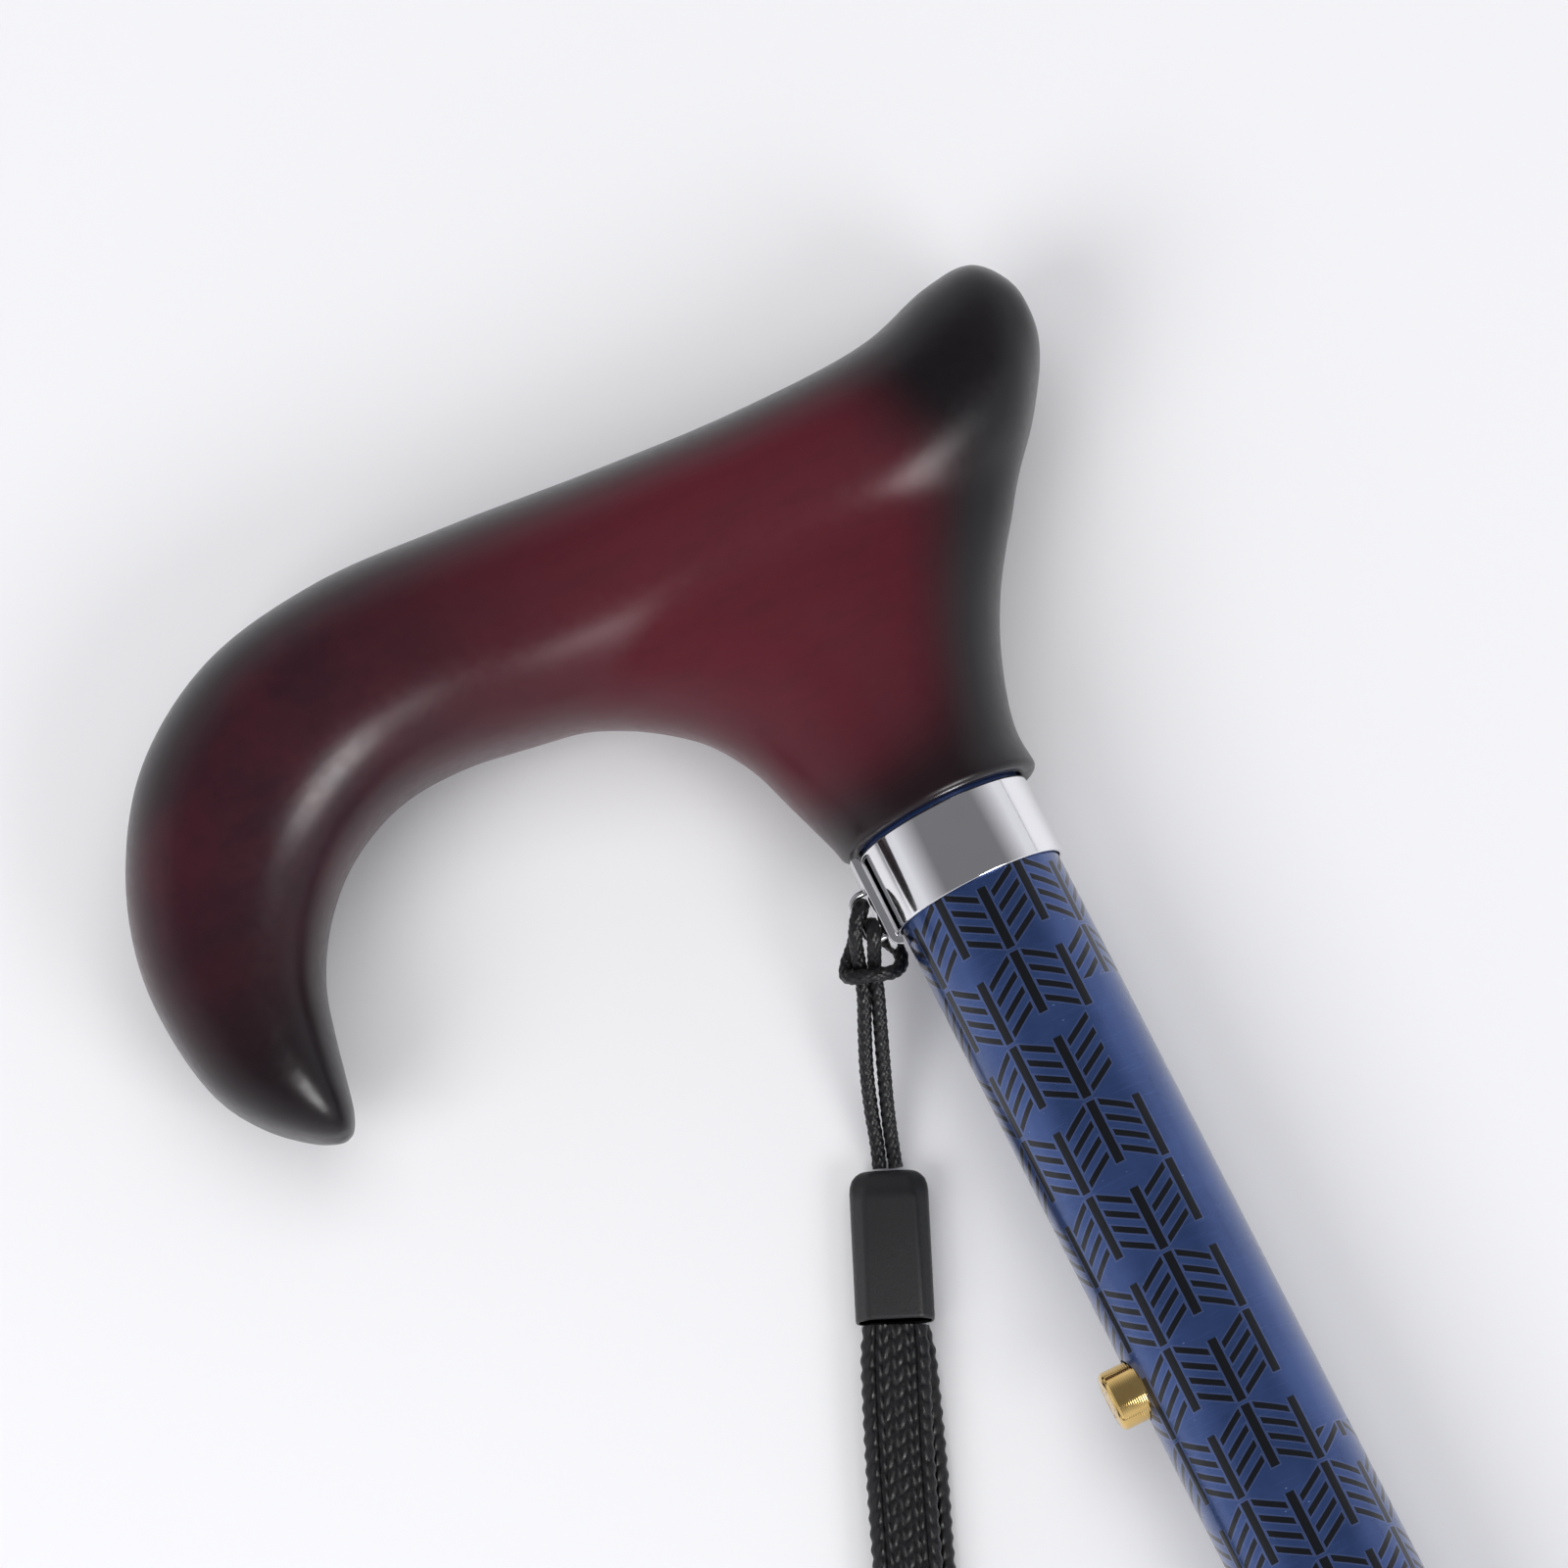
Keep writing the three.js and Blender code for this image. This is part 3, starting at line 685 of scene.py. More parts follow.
def printed_metal():
    """Blue metallic coat over aluminium, printed with the black motif."""
    made = Finish("printed_metal", metallic=0.75, coat_weight=0.6, coat_roughness=0.16)
    distance = motif_distance(made)
    black = distance.ramp(-0.03, 0.03, 1.0, 0.0)
    outline = distance.ramp(OUTLINE - 0.03, OUTLINE + 0.03, 1.0, 0.0)
    tone = made.noise(120, detail=4, roughness=0.6)
    brushed = made.noise(2600, detail=3, roughness=0.7, stretch=(1, 0.05, 0.05))
    glints = made.cells(900, stretch=(1, 0.4, 0.4)).ramp(0.03, 0.07, 1.0, 0.0)
    blue = made.mix(tone.ramp(0.35, 0.65), (0.03, 0.066, 0.205), (0.043, 0.086, 0.255))
    blue = made.mix((brushed - 0.55).ramp(0.0, 0.3, 0.0, 0.3), blue, (0.09, 0.19, 0.5))
    blue = made.mix(glints * tone.ramp(0.5, 0.62, 0.0, 0.8), blue, (0.3, 0.5, 0.9))
    blue = made.mix(outline * 0.5, blue, (0.12, 0.16, 0.34))
    made.link(made.mix(black, blue, (0.004, 0.006, 0.01)), "Base Color")
    made.link(black * 0.12 + tone * 0.08 + 0.24, "Roughness")
    made.bump(black, 0.00001)
    return made.material


def plain_metal():
    made = Finish("plain_metal", metallic=0.85)
    brushed = made.noise(1800, detail=3, roughness=0.7, stretch=(0.03, 1, 1))
    tone = made.noise(50, detail=3)
    made.link(made.mix(tone, (0.022, 0.034, 0.075), (0.03, 0.045, 0.095)), "Base Color")
    made.link(brushed.ramp(0.3, 0.7, 0.28, 0.4), "Roughness")
    made.bump(brushed, 0.000008)
    return made.material


def brass():
    """Turned brass: faint rings on the button's top and lines round its side."""
    ring_rate = 14.0  # radians per millimetre
    line_rate = 22.0
    made = Finish("brass", metallic=1.0)
    along, hook, up = made.coordinates()
    offset = along - BUTTON_AT
    radius = (offset * offset + up * up).math("SQRT")
    rings = (radius * ring_rate).math("SINE") * 0.5 + 0.5
    lines = (hook * line_rate).math("SINE") * 0.5 + 0.5
    tone = made.noise(700, detail=3)
    made.link(made.mix(tone, (0.72, 0.47, 0.15), (0.88, 0.64, 0.27)), "Base Color")
    made.link(rings * 0.04 + tone * 0.08 + 0.08, "Roughness")
    made.bump(rings * 0.5 + lines * 0.5, 0.00003)
    return made.material


def steel():
    made = Finish("steel", metallic=1.0)
    tone = made.noise(300, detail=4, roughness=0.7)
    made.link(made.mix(tone, (0.42, 0.43, 0.45), (0.6, 0.61, 0.63)), "Base Color")
    made.link(tone.ramp(0.3, 0.7, 0.25, 0.42), "Roughness")
    made.bump(tone, 0.00001)
    return made.material


def moulded(name, dark, light, roughness=0.5, depth=0.00003):
    """Moulded plastic with a fine spark-eroded texture."""
    made = Finish(name, specular_ior_level=0.5)
    pits = made.noise(3600, detail=3, roughness=0.6)
    tone = made.noise(120, detail=2)
    made.link(made.mix(tone, dark, light), "Base Color")
    made.link(pits.ramp(0.35, 0.65, roughness - 0.06, roughness + 0.08), "Roughness")
    made.bump(pits, depth)
    return made.material


def rubber():
    made = Finish("rubber", specular_ior_level=0.35)
    dust = made.noise(500, detail=5, roughness=0.7)
    made.link(made.mix(dust.ramp(0.5, 0.8), (0.012, 0.012, 0.013), (0.03, 0.03, 0.031)), "Base Color")
    made.link(dust.ramp(0.3, 0.7, 0.62, 0.8), "Roughness")
    made.bump(dust, 0.00003)
    return made.material


def yarn(name, filaments):
    """Black synthetic yarn: fine filaments with a little sheen, and lighter threads painted in as highlights where the
    glossy filaments glint.
    """
    made = Finish(name, sheen_weight=0.06, sheen_roughness=0.4, specular_ior_level=0.5)
    glinting_threads = made.noise(filaments, detail=3, roughness=0.7, stretch=(0.25, 1, 1))
    flecks = made.noise(1300, detail=4, roughness=0.7)
    dark = made.mix(flecks.ramp(0.4, 0.65), (0.0016, 0.0016, 0.002), (0.005, 0.005, 0.0065))
    # Painted highlights: the lighter threads stand in for the glints of the glossy filaments. The same noise also gives
    # the filaments' relief.
    made.link(made.mix(glinting_threads.ramp(0.62, 0.8, 0.0, 0.45), dark, (0.06, 0.062, 0.066)), "Base Color")
    made.link(flecks.ramp(0.35, 0.65, 0.3, 0.6), "Roughness")
    made.bump(glinting_threads, 0.00006)
    return made.material


LACQUER = lacquer()
CHROME = chrome()
PRINTED = printed_metal()
PLAIN_METAL = plain_metal()
BRASS = brass()
STEEL = steel()
BLACK_PLASTIC = moulded("black_plastic", (0.011, 0.011, 0.012), (0.016, 0.016, 0.017), roughness=0.46)
GREY_PLASTIC = moulded("grey_plastic", (0.08, 0.085, 0.09), (0.11, 0.115, 0.12), roughness=0.5)
RUBBER = rubber()
CORD_YARN = yarn("cord_yarn", 3000)
BAND_YARN = yarn("band_yarn", 2600)

# ---------------- thin cord
# Points are along, hook and height over the table, from the connector round the eye and back.
LEFT_STRAND = [
    (-24.0, 26.0, 3.4),
    (-21.3, 25.0, 3.8),
    (-17.2, 23.8, 5.2),
    (-12.8, 22.3, 7.5),
    (-8.6, 20.5, 10.1),
    (-4.9, 18.8, 12.2),
]
HITCH = [
    (-2.4, 17.9, 13.0),
    (0.0, 17.3, 14.9),
    (1.9, 16.7, 16.8),
    (3.7, 15.6, 17.5),
    (4.9, 14.5, 17.2),
    (5.2, 14.05, 16.0),
    (4.8, 14.4, 14.6),
    (3.3, 15.6, 13.7),
    (1.4, 17.3, 13.2),
    (-0.2, 18.9, 12.9),
    (-1.5, 19.6, 13.6),
    (-2.4, 19.0, 14.8),
    (-3.0, 17.4, 15.3),
    (-3.6, 15.6, 15.1),
    (-3.8, 14.0, 14.1),
    (-3.1, 12.7, 12.7),
    (-1.5, 12.1, 11.9),
    (0.4, 12.9, 12.0),
    (1.9, 14.0, 13.2),
    (2.6, 14.08, 15.2),
    (2.3, 14.1, 16.7),
    (1.4, 14.4, 17.5),
    (0.2, 14.9, 17.3),
    (-1.1, 15.5, 15.5),
    (-2.5, 16.1, 13.2),
]
RIGHT_STRAND = [
    (-4.9, 16.9, 12.2),
    (-8.8, 18.4, 10.2),
    (-13.2, 20.1, 7.6),
    (-17.7, 21.8, 5.3),
    (-21.9, 23.2, 3.8),
    (-24.8, 24.1, 3.4),
]


def braid_height(turns, rises):
    """Relief of a plain braid, 0 to 1: strands of two slants pass over and under each other."""
    first = turns + rises
    second = turns - rises
    over = (math.floor(first) + math.floor(second)) % 2 == 0
    width, length = (first, second) if over else (second, first)
    crown = math.sqrt(max(0.0, 1 - (2 * (width % 1) - 1) ** 2))
    return crown * math.sin(math.pi * (length % 1)) ** 0.6


def thin_cord():
    sides = 36
    strands = 6
    pitch = 1.35 * MM
    relief = 0.2 * MM
    core = CORD_DIAMETER / 2 * MM - relief * 0.7
    route, length = smooth_route([on_table(*p) for p in LEFT_STRAND + HITCH + RIGHT_STRAND], 0.12 * MM)

    def section(run):
        ring = []
        for j, angle in enumerate(angles_of(sides)):
            turns = j / sides * strands
            radius = core + relief * braid_height(turns, run / pitch)
            ring.append((radius * math.cos(angle), radius * math.sin(angle)))
        return ring

    made = swept("braided_cord", route, Vector((0, 1, 0)), section)
    return made, route, length


# ---------------- wrist band
BAND_RUN = [
    (-43.0, 33.2),
    (-50, 36.2),
    (-60, 40.4),
    (-72, 45.3),
    (-85, 50.2),
    (-100, 54.9),
    (-118, 58.5),
    (-138, 60.2),
    (-160, 60.6),
    (-180, 60.6),
]
BAND_SPREAD = [0.3, 0.7, 1, 1, 1, 1, 1, 1, 1, 1]
BAND_OVER = [4.75, 4.45, 4.2, 4.05, 4.0, 4.0, 4.0, 4.05, 4.2, 5.2]
BAND_UNDER = [2.0, 1.6, 1.35, 1.25, 1.25, 1.25, 1.25, 1.25, 1.25, 1.25]
BAND_FOLD = [
    (-190, 61.05, 7.1),
    (-199, 61.0, 9.5),
    (-206.5, 60.8, 10.0),
    (-212, 60.5, 8.0),
    (-213.6, 60.2, 4.9),
    (-210.6, 59.9, 2.2),
    (-204, 59.7, 1.25),
    (-192, 59.6, 1.25),
]
BAND_SIDEWAYS = (0.44, 0.9)  # along and hook
OUT_SHIFT = 0.5  # the run out from the connector, sideways
HOME_SHIFT = -1.1  # the run home, below it
WALES = 5
COURSE = 1.97  # one row of stitches


def stitch_height(across, run):
    """Relief of the knit, 0 to 1, from V-shaped stitches in upright wales."""
    wale = (across / BAND_WIDTH + 0.5) * WALES
    column = math.floor(clamp(wale, 0, WALES - 0.001))
    inside = (wale - column) * 2 - 1
    course = run / COURSE + 0.55 * abs(inside) + 0.5 * (column % 2)
    leg = max(0.0, 1 - (2 * abs(inside) - 1) ** 2)
    loop = max(0.0, 1 - (2 * (course % 1) - 1) ** 2)
    return math.sqrt(leg) * loop ** 0.5


def band_run(sideways, heights):
    """The band's middle line moved sideways by a distance, at the given heights."""
    run = []
    for (along, hook), spread, height in zip(BAND_RUN, BAND_SPREAD, heights):
        shift = sideways * spread
        run.append((along + BAND_SIDEWAYS[0] * shift, hook + BAND_SIDEWAYS[1] * shift, height))
    return run


def rest_on_table(piece):
    """Presses whatever would reach below the table flat onto it."""
    for vert in piece.data.vertices:
        vert.co.z = max(vert.co.z, 0)


def wrist_band():
    top_points = 34
    side_points = 4
    relief = 0.42 * MM
    half_width = BAND_WIDTH / 2 * MM
    half_thick = BAND_THICK / 2 * MM - relief * 0.55
    out = band_run(OUT_SHIFT, BAND_OVER)
    home = band_run(HOME_SHIFT, BAND_UNDER)[::-1]
    route, length = smooth_route([on_table(*p) for p in out + BAND_FOLD + home], 0.3 * MM)
    full = length / MM

    def section(run):
        run = run / MM
        tuck = smoothstep(0, 4, min(run, full - run))
        narrow = 0.93 + 0.07 * tuck  # the ends are a little narrower, inside the connector
        scallop = 0.12 * math.sin(run / COURSE * math.tau) * MM
        ring = []
        flat = half_width - half_thick
        for face in (1, -1):
            for j in range(top_points):
                part = j / (top_points - 1)
                across = flat * (1 - 2 * part) * face
                height = stitch_height(across / MM * face, run)
                lift = (half_thick + relief * height) * face
                ring.append((across * narrow, lift))
            for j in range(1, side_points + 1):
                angle = math.pi * j / (side_points + 1)
                reach = (half_thick + scallop * math.sin(angle)) * math.sin(angle)
                ring.append((-(flat + reach) * face * narrow, half_thick * math.cos(angle) * face))
        return ring

    made = swept("knitted_band", route, Vector((0.4, 0.9, 0)), section, level=True)
    rest_on_table(made)
    return made, route, length


cord, cord_route, cord_length = thin_cord()
band, band_route, band_length = wrist_band()

finish_piece(band, BAND_YARN, "wrist_strap", "black_knit", "wrist_band")
paint(cord, CORD_YARN)
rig.blend(cord, "cane_top", "wrist_strap", start=at(-3.5, 17.5, -2.5), end=at(-7.5, 19.0, -5.0))
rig.slot(cord, "black_cord")
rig.replaces(cord, "cord_strand_left", "cord_hitch", "cord_strand_right")

# ---------------- handle
# Stations along the grip, from the tail, over the palm and round the hook to its tip: the upper
# edge's along and hook, the lower edge's along and hook, and half the thickness.
GRIP_STATIONS = [
    (64.6, -39.7, 64.6, -39.7, 0),
    (69.3, -38.9, 60.5, -38.8, 6.6),
    (73.7, -35.2, 55.0, -35.7, 10.4),
    (73.4, -28.6, 48.9, -30.9, 12.8),
    (70.2, -18.4, 44.0, -19.2, 14.7),
    (69.35, 0, 41.1, 0, 15.7),
    (70.4, 20, 41.1, 20, 15.95),
    (72.1, 40, 41.8, 38, 15.95),
    (72.8, 58.8, 43.8, 50.2, 15.5),
    (69.6, 75.2, 43.1, 60.2, 14.8),
    (61.2, 88.0, 39.0, 68.9, 14),
    (49.9, 95.6, 33.0, 75.0, 13.3),
    (38.4, 99.2, 26.0, 79.0, 12.5),
    (28.0, 99.4, 19.4, 80.8, 11.5),
    (18.8, 97.5, 13.6, 82.0, 10),
    (13.0, 93.9, 9.4, 83.0, 7.6),
    (9.2, 89.8, 7.2, 84.3, 4.6),
    (6.8, 86.3, 6.8, 86.3, 0),
]
# Stations up the neck, from below the rim into the palm: along, back edge's hook, front edge's hook,
# half thickness.
NECK_STATIONS = [
    (RIM_AT - 4, -13.7, 13.7, 13.7),
    (RIM_AT + 0.7, -13.7, 13.7, 13.7),
    (16, -13.4, 14.9, 13.4),
    (21, -14.4, 16.6, 13.6),
    (27.5, -16.7, 18.9, 14.2),
    (33.5, -19.7, 23, 14.8),
    (38.5, -23, 29.6, 15.2),
    (41.8, -25.5, 36.5, 15.2),
    (46, -28.9, 41, 14.6),
    (51, -32.6, 41, 13.6),
    (56, -35.8, 36, 12),
    (61, -36.6, 28, 10),
]
# Where the neck's outline runs into the grip's: along and hook.
INNER_CORNERS = [Vector((42.4, 37.3)), Vector((49, -30.8))]
VOXEL = 0.6 * MM
SMOOTHING_PASSES = 12
FAIRING_PASSES = 160
RIM_ROUNDING = 0.9
NECK_REACH = 30 * MM  # the neck, and nothing of the hook, lies within this of the axis at the rim
# Middles of the black spray at the hook's tip and the tail, and of the clearest red on the face.
SPRAY_TIP = Vector((8, 88, 0))
SPRAY_TAIL = Vector((62, -33))
CLEAREST_RED = Vector((48, 8, 14))
# The back edge past the neck's stations, up to the tail.
TAIL_EDGE = [Vector((55.2, -35.2, 0)), Vector((64.9, -38.9, 0))]


def super_circle(value, power):
    """One coordinate of a rounded section: fuller corners with a power over 2."""
    return math.copysign(abs(value) ** (2 / power), value)


def grip_rings():
    top = [Vector(row[:2]) for row in GRIP_STATIONS]
    bottom = [Vector(row[2:4]) for row in GRIP_STATIONS]
    halves = [Vector((row[4], 0)) for row in GRIP_STATIONS]
    rings = []
    count = 170
    sides = 80
    for i in range(count + 1):
        part = i / count
        upper, lower = curve_point(top, part), curve_point(bottom, part)
        half = max(curve_row(halves, part).x, 0.02)
        middle, reach = (upper + lower) / 2, (upper - lower) / 2
        ring = []
        for angle in angles_of(sides):
            spot = middle + reach * super_circle(math.cos(angle), GRIP_FULLNESS)
            ring.append(at(spot.x, spot.y, half * super_circle(math.sin(angle), GRIP_FULLNESS)))
        rings.append(ring)
    return rings


def neck_rings():
    rows = [Vector(row) for row in NECK_STATIONS]
    rings = []
    count = 60
    sides = 72
    for i in range(count + 1):
        along, back, front, half = curve_row(rows, i / count)
        ring = []
        for angle in angles_of(sides):
            hook = (back + front) / 2 + (front - back) / 2 * math.cos(angle)
            ring.append(at(along, hook, half * math.sin(angle)))
        rings.append(ring)
    return rings


def shaft_coordinates(point):
    """The inverse of at()."""
    return (point - AXIS_START) / MM


def baked(piece):
    """Applies a piece's modifiers to its mesh."""
    graph = bpy.context.evaluated_depsgraph_get()
    mesh = bpy.data.meshes.new_from_object(piece.evaluated_get(graph))
    piece.modifiers.clear()
    piece.data = mesh


def joined(name, *pieces):
    work = bmesh.new()
    for piece in pieces:
        work.from_mesh(piece.data)
        bpy.data.objects.remove(piece)
    mesh = bpy.data.meshes.new(name)
    work.to_mesh(mesh)
    work.free()
    made = bpy.data.objects.new(name, mesh)
    bpy.context.scene.collection.objects.link(made)
    return made


def cut_rim(mesh):
    """Cuts the neck off square at the rim, rounds the edge and sinks the socket for the tube."""
    work = bmesh.new()
    work.from_mesh(mesh)
    down = Vector((-1, 0, 0))

    def neck_geometry():
        faces = [f for f in work.faces if abs(f.calc_center_median().y - AXIS_START.y) < NECK_REACH]
        edges = {edge for face in faces for edge in face.edges}
        verts = {vert for face in faces for vert in face.verts}
        return sorted(verts, key=by_index) + sorted(edges, key=by_index) + faces

    def by_index(item):
        return item.index

    def cut(height, **how):
        for items in (work.verts, work.edges, work.faces):
            items.index_update()
        place = at(RIM_AT + height, 0)
        bmesh.ops.bisect_plane(work, geom=neck_geometry(), plane_co=place, plane_no=down, **how)

    cut(0, clear_outer=True)
    for height in (0.08, 0.2, 0.36, 0.6, RIM_ROUNDING):
        cut(height)
    for vert in work.verts:
        height = (vert.co.x - AXIS_START.x) / MM - RIM_AT
        if height < RIM_ROUNDING and abs(vert.co.y - AXIS_START.y) < NECK_REACH:
            left = RIM_ROUNDING - max(height, 0)
            inset = RIM_ROUNDING - math.sqrt(max(0.0, RIM_ROUNDING ** 2 - left ** 2))
            offset = Vector((0, vert.co.y - AXIS_START.y, vert.co.z - AXIS_START.z))
            vert.co -= offset.normalized() * inset * MM
    edges = [edge for edge in work.edges if edge.is_boundary]
    for radius, along in ((SOCKET_R + 0.2, RIM_AT), (SOCKET_R, RIM_AT + 0.2), (SOCKET_R, SOCKET_TOP)):
        extruded = bmesh.ops.extrude_edge_only(work, edges=edges)["geom"]
        for vert in (item for item in extruded if isinstance(item, bmesh.types.BMVert)):
            offset = Vector((0, vert.co.y - AXIS_START.y, vert.co.z - AXIS_START.z)).normalized()
            vert.co = at(along, 0) + offset * radius * MM
        edges = [item for item in extruded if isinstance(item, bmesh.types.BMEdge)]
    bmesh.ops.edgeloop_fill(work, edges=edges)
    bmesh.ops.recalc_face_normals(work, faces=work.faces)
    work.to_mesh(mesh)
    work.free()


def distance_to(point, line):
    """How far a point is from a line of points."""
    best = 1e9
    for a, b in zip(line, line[1:]):
        run = b - a
        part = clamp((point - a).dot(run) / run.length_squared)
        best = min(best, (point - a - run * part).length)
    return best


def spray_and_painted_shade(mesh):
    """How dark each point is made: black sprayed on at the rim, the tip and the tail, and painted shade along the top
    and back edges, where the surface turns away from the light.

    Each pair of numbers is in millimetres: full black up to the first, none from the second on.
    """
    top = [Vector((row[0], row[1], 0)) for row in GRIP_STATIONS[:11]]
    back = [Vector((row[0], row[1], 0)) for row in NECK_STATIONS[:8]]
    back += TAIL_EDGE
    values = []
    warmth = []
    for vert in mesh.vertices:
        spot = shaft_coordinates(vert.co)
        # Painted shade: the band along the top edge, where the surface turns away from the light.
        top_edge_shade = 1 - smoothstep(8.5, 17.5, distance_to(spot, top))
        top_edge_shade *= 1 - 0.35 * smoothstep(75, 98, spot.y)
        # Painted shade: the band along the back edge, where the surface turns away from the light.
        back_edge_shade = 1 - smoothstep(9, 20, distance_to(spot, back))
        from_rim = 1 - smoothstep(RIM_AT + 1, RIM_AT + 14 - clamp(spot.y, -20, 20) * 0.25, spot.x)
        from_rim *= 1 - smoothstep(18, 34, spot.y)
        from_tip = 1 - smoothstep(10, 38, (spot - SPRAY_TIP).length)
        from_tail = 1 - smoothstep(11, 25, (spot.xy - SPRAY_TAIL).length)
        clear = (1 - top_edge_shade) * (1 - back_edge_shade) * (1 - from_tail)
        clear *= (1 - 0.9 * from_rim) * (1 - 0.92 * from_tip)
        values.append(1 - clear)
        warmth.append(1 - smoothstep(8, 60, (spot - CLEAREST_RED).length))
    for name, numbers in (("spray_and_shade", values), ("warmth", warmth)):
        layer = mesh.attributes.new(name, "FLOAT", "POINT")
        layer.data.foreach_set("value", numbers)


def derby_handle():
    """Grip and neck melted into one skin, with the two hollows between them faired smooth."""
    rough = joined("derby_handle", skin("grip", grip_rings()), skin("neck", neck_rings()))
    remesh = rough.modifiers.new("remesh", "REMESH")
    remesh.mode = "VOXEL"
    remesh.voxel_size = VOXEL
    smooth = rough.modifiers.new("smooth", "SMOOTH")
    smooth.factor = 0.5
    smooth.iterations = SMOOTHING_PASSES
    baked(rough)
    blend_zone = rough.vertex_groups.new(name="blend")
    for vert in rough.data.vertices:
        spot = shaft_coordinates(vert.co)
        zone = smoothstep(22, 32, spot.x) * (1 - smoothstep(52, 64, spot.x))
        zone *= smoothstep(-34, -26, spot.y) * (1 - smoothstep(44, 58, spot.y))
        zone *= smoothstep(6, 10, abs(spot.z))
        for corner in INNER_CORNERS:
            zone = max(zone, 1 - smoothstep(4, 10, (spot.xy - corner).length))
        if zone > 0:
            blend_zone.add([vert.index], zone, "REPLACE")
    fair = rough.modifiers.new("fair", "SMOOTH")
    fair.factor = 0.5
    fair.iterations = FAIRING_PASSES
    fair.vertex_group = "blend"
    baked(rough)
    cut_rim(rough.data)
    spray_and_painted_shade(rough.data)
    rough.data.shade_smooth()
    rough.data.set_sharp_from_angle(angle=math.radians(50))
    return rough


finish_piece(derby_handle(), LACQUER, "cane_top", "handle_lacquer", "handle")


# ---------------- collar, clip and eye
def collar_ring():
    inner = TUBE_R + 0.2
    edge = 0.3
    return turned("collar_ring", rounded([
        (inner, 0),
        (COLLAR_R, 0, edge),
        (COLLAR_R, COLLAR_HEIGHT, edge),
        (inner, COLLAR_HEIGHT),
    ], radius=0.1), sides=192)


def clip_strip():
    """A strip that stands off the collar, its lower end curled in under the collar's edge."""
    middle = (CLIP_INNER + CLIP_OUTER) / 2
    curl = 1
    points = [(COLLAR_HEIGHT - 0.1, middle), (5, middle), (0, middle), (-0.3, middle)]
    for turn in (30, 60, 90):
        angle = math.radians(turn)
        points.append((-0.3 - curl * math.sin(angle), middle - curl * (1 - math.cos(angle))))
    route, _ = smooth_route([at(*point) for point in points], 0.2 * MM)
    width = CLIP_WIDTH / 2
    thick = (CLIP_OUTER - CLIP_INNER) / 2
    corners = [(-width, -thick), (width, -thick), (width, thick), (-width, thick)]
    outline = [(x * MM, y * MM) for x, y in rounded(corners, radius=0.3)]
    return swept("clip_strip", route, Vector((0, 0, 1)), lambda run: outline, sharp=50)


def wire_eye():
    """A staple of round wire on the strip's outer face."""
    face = CLIP_OUTER + 0.05
    out = CLIP_OUTER + 2.3
    low, high = 0.4, 6.6
    # One bend: how far in from the eye's end, and how far out from the axis.
    bend = [(0, face), (0.1, out - 1.1), (0.7, out - 0.25), (1.8, out)]
    points = [at(low + inset, reach) for inset, reach in bend]
    points += [at(high - inset, reach) for inset, reach in reversed(bend)]
    route, _ = smooth_route(points, 0.15 * MM)
    wire = 0.45 * MM
    circle = [(wire * math.cos(a), wire * math.sin(a)) for a in angles_of(20)]
    return swept("wire_eye", route, Vector((0, 0, 1)), lambda run: circle)


for piece, node_name in ((collar_ring(), "collar"), (clip_strip(), "strap_clip"), (wire_eye(), "strap_eye")):
    finish_piece(piece, CHROME, "cane_top", "chrome", node_name)


# ---------------- tubes
def drilled(tube, *holes):
    """Cuts round holes through the hook side of a tube's wall, and keeps its face perfectly round."""
    inside, outside = 5, 14

    def place(position):
        return lambda along, across, up: at(position + across, along, up)

    cutters = [
        turned("cutter", [(HOLE_R, inside), (HOLE_R, outside)], 48, place=place(position), loop=False)
        for position in holes
    ]
    cutter = joined("cutter", *cutters)
    boolean = tube.modifiers.new("holes", "BOOLEAN")
    boolean.object = cutter
    boolean.solver = "EXACT"
    baked(tube)
    bpy.data.objects.remove(cutter)
    normals = []
    mesh = tube.data
    for face in mesh.polygons:
        for index in face.vertices:
            offset = mesh.vertices[index].co - AXIS_START
            radial = Vector((0, offset.y, offset.z)).normalized()
            lined_up = face.normal.dot(radial)
            round_side = abs(face.normal.x) < 0.05 and abs(lined_up) > 0.995
            normals.append(radial * math.copysign(1, lined_up) if round_side else face.normal)
    mesh.shade_smooth()
    mesh.normals_split_custom_set(normals)
    return tube


def tube_profile(inner, outer, low, high):
    return rounded([(inner, low), (outer, low), (outer, high), (inner, high)], radius=0.15)


def printed_tube():
    profile = tube_profile(TUBE_R - TUBE_WALL, TUBE_R, UPPER_TUBE_END, UPPER_TUBE_TOP)
    tube = turned("printed_tube", profile, sides=160)
    return drilled(tube, *(BUTTON_AT - i * HOLE_PITCH for i in range(HOLE_COUNT)))


def inner_tube():
    profile = tube_profile(LOWER_R - TUBE_WALL, LOWER_R, LOWER_TUBE_END, LOWER_TUBE_TOP)
    return drilled(turned("inner_tube", profile, sides=160), BUTTON_AT)


finish_piece(printed_tube(), PRINTED, "cane_top", "printed_tube", "upper_tube")
finish_piece(inner_tube(), PLAIN_METAL, "lower_section", "plain_tube", "lower_tube")


# ---------------- snap button
def brass_button():
    profile = [
        (4.9, 5.6),
        (4.9, 6.4),
        (BUTTON_R, 6.4),
        (BUTTON_R, BUTTON_TOP - 0.55),
        (BUTTON_R - 0.06, BUTTON_TOP - 0.42),
        (BUTTON_R - 0.42, BUTTON_TOP - 0.06),
        (BUTTON_R - 0.55, BUTTON_TOP),
        (2.2, BUTTON_TOP),
        (2.1, BUTTON_TOP - 0.08),
        (1.9, BUTTON_TOP - 0.08),
        (1.8, BUTTON_TOP),
    ]
    return turned(
        "brass_button",
        profile,
        sides=96,
        sharp=25,
        place=lambda along, across, up: at(BUTTON_AT + across, along, up),
        loop=False,
    )


finish_piece(brass_button(), BRASS, "button", "brass", "snap_button")


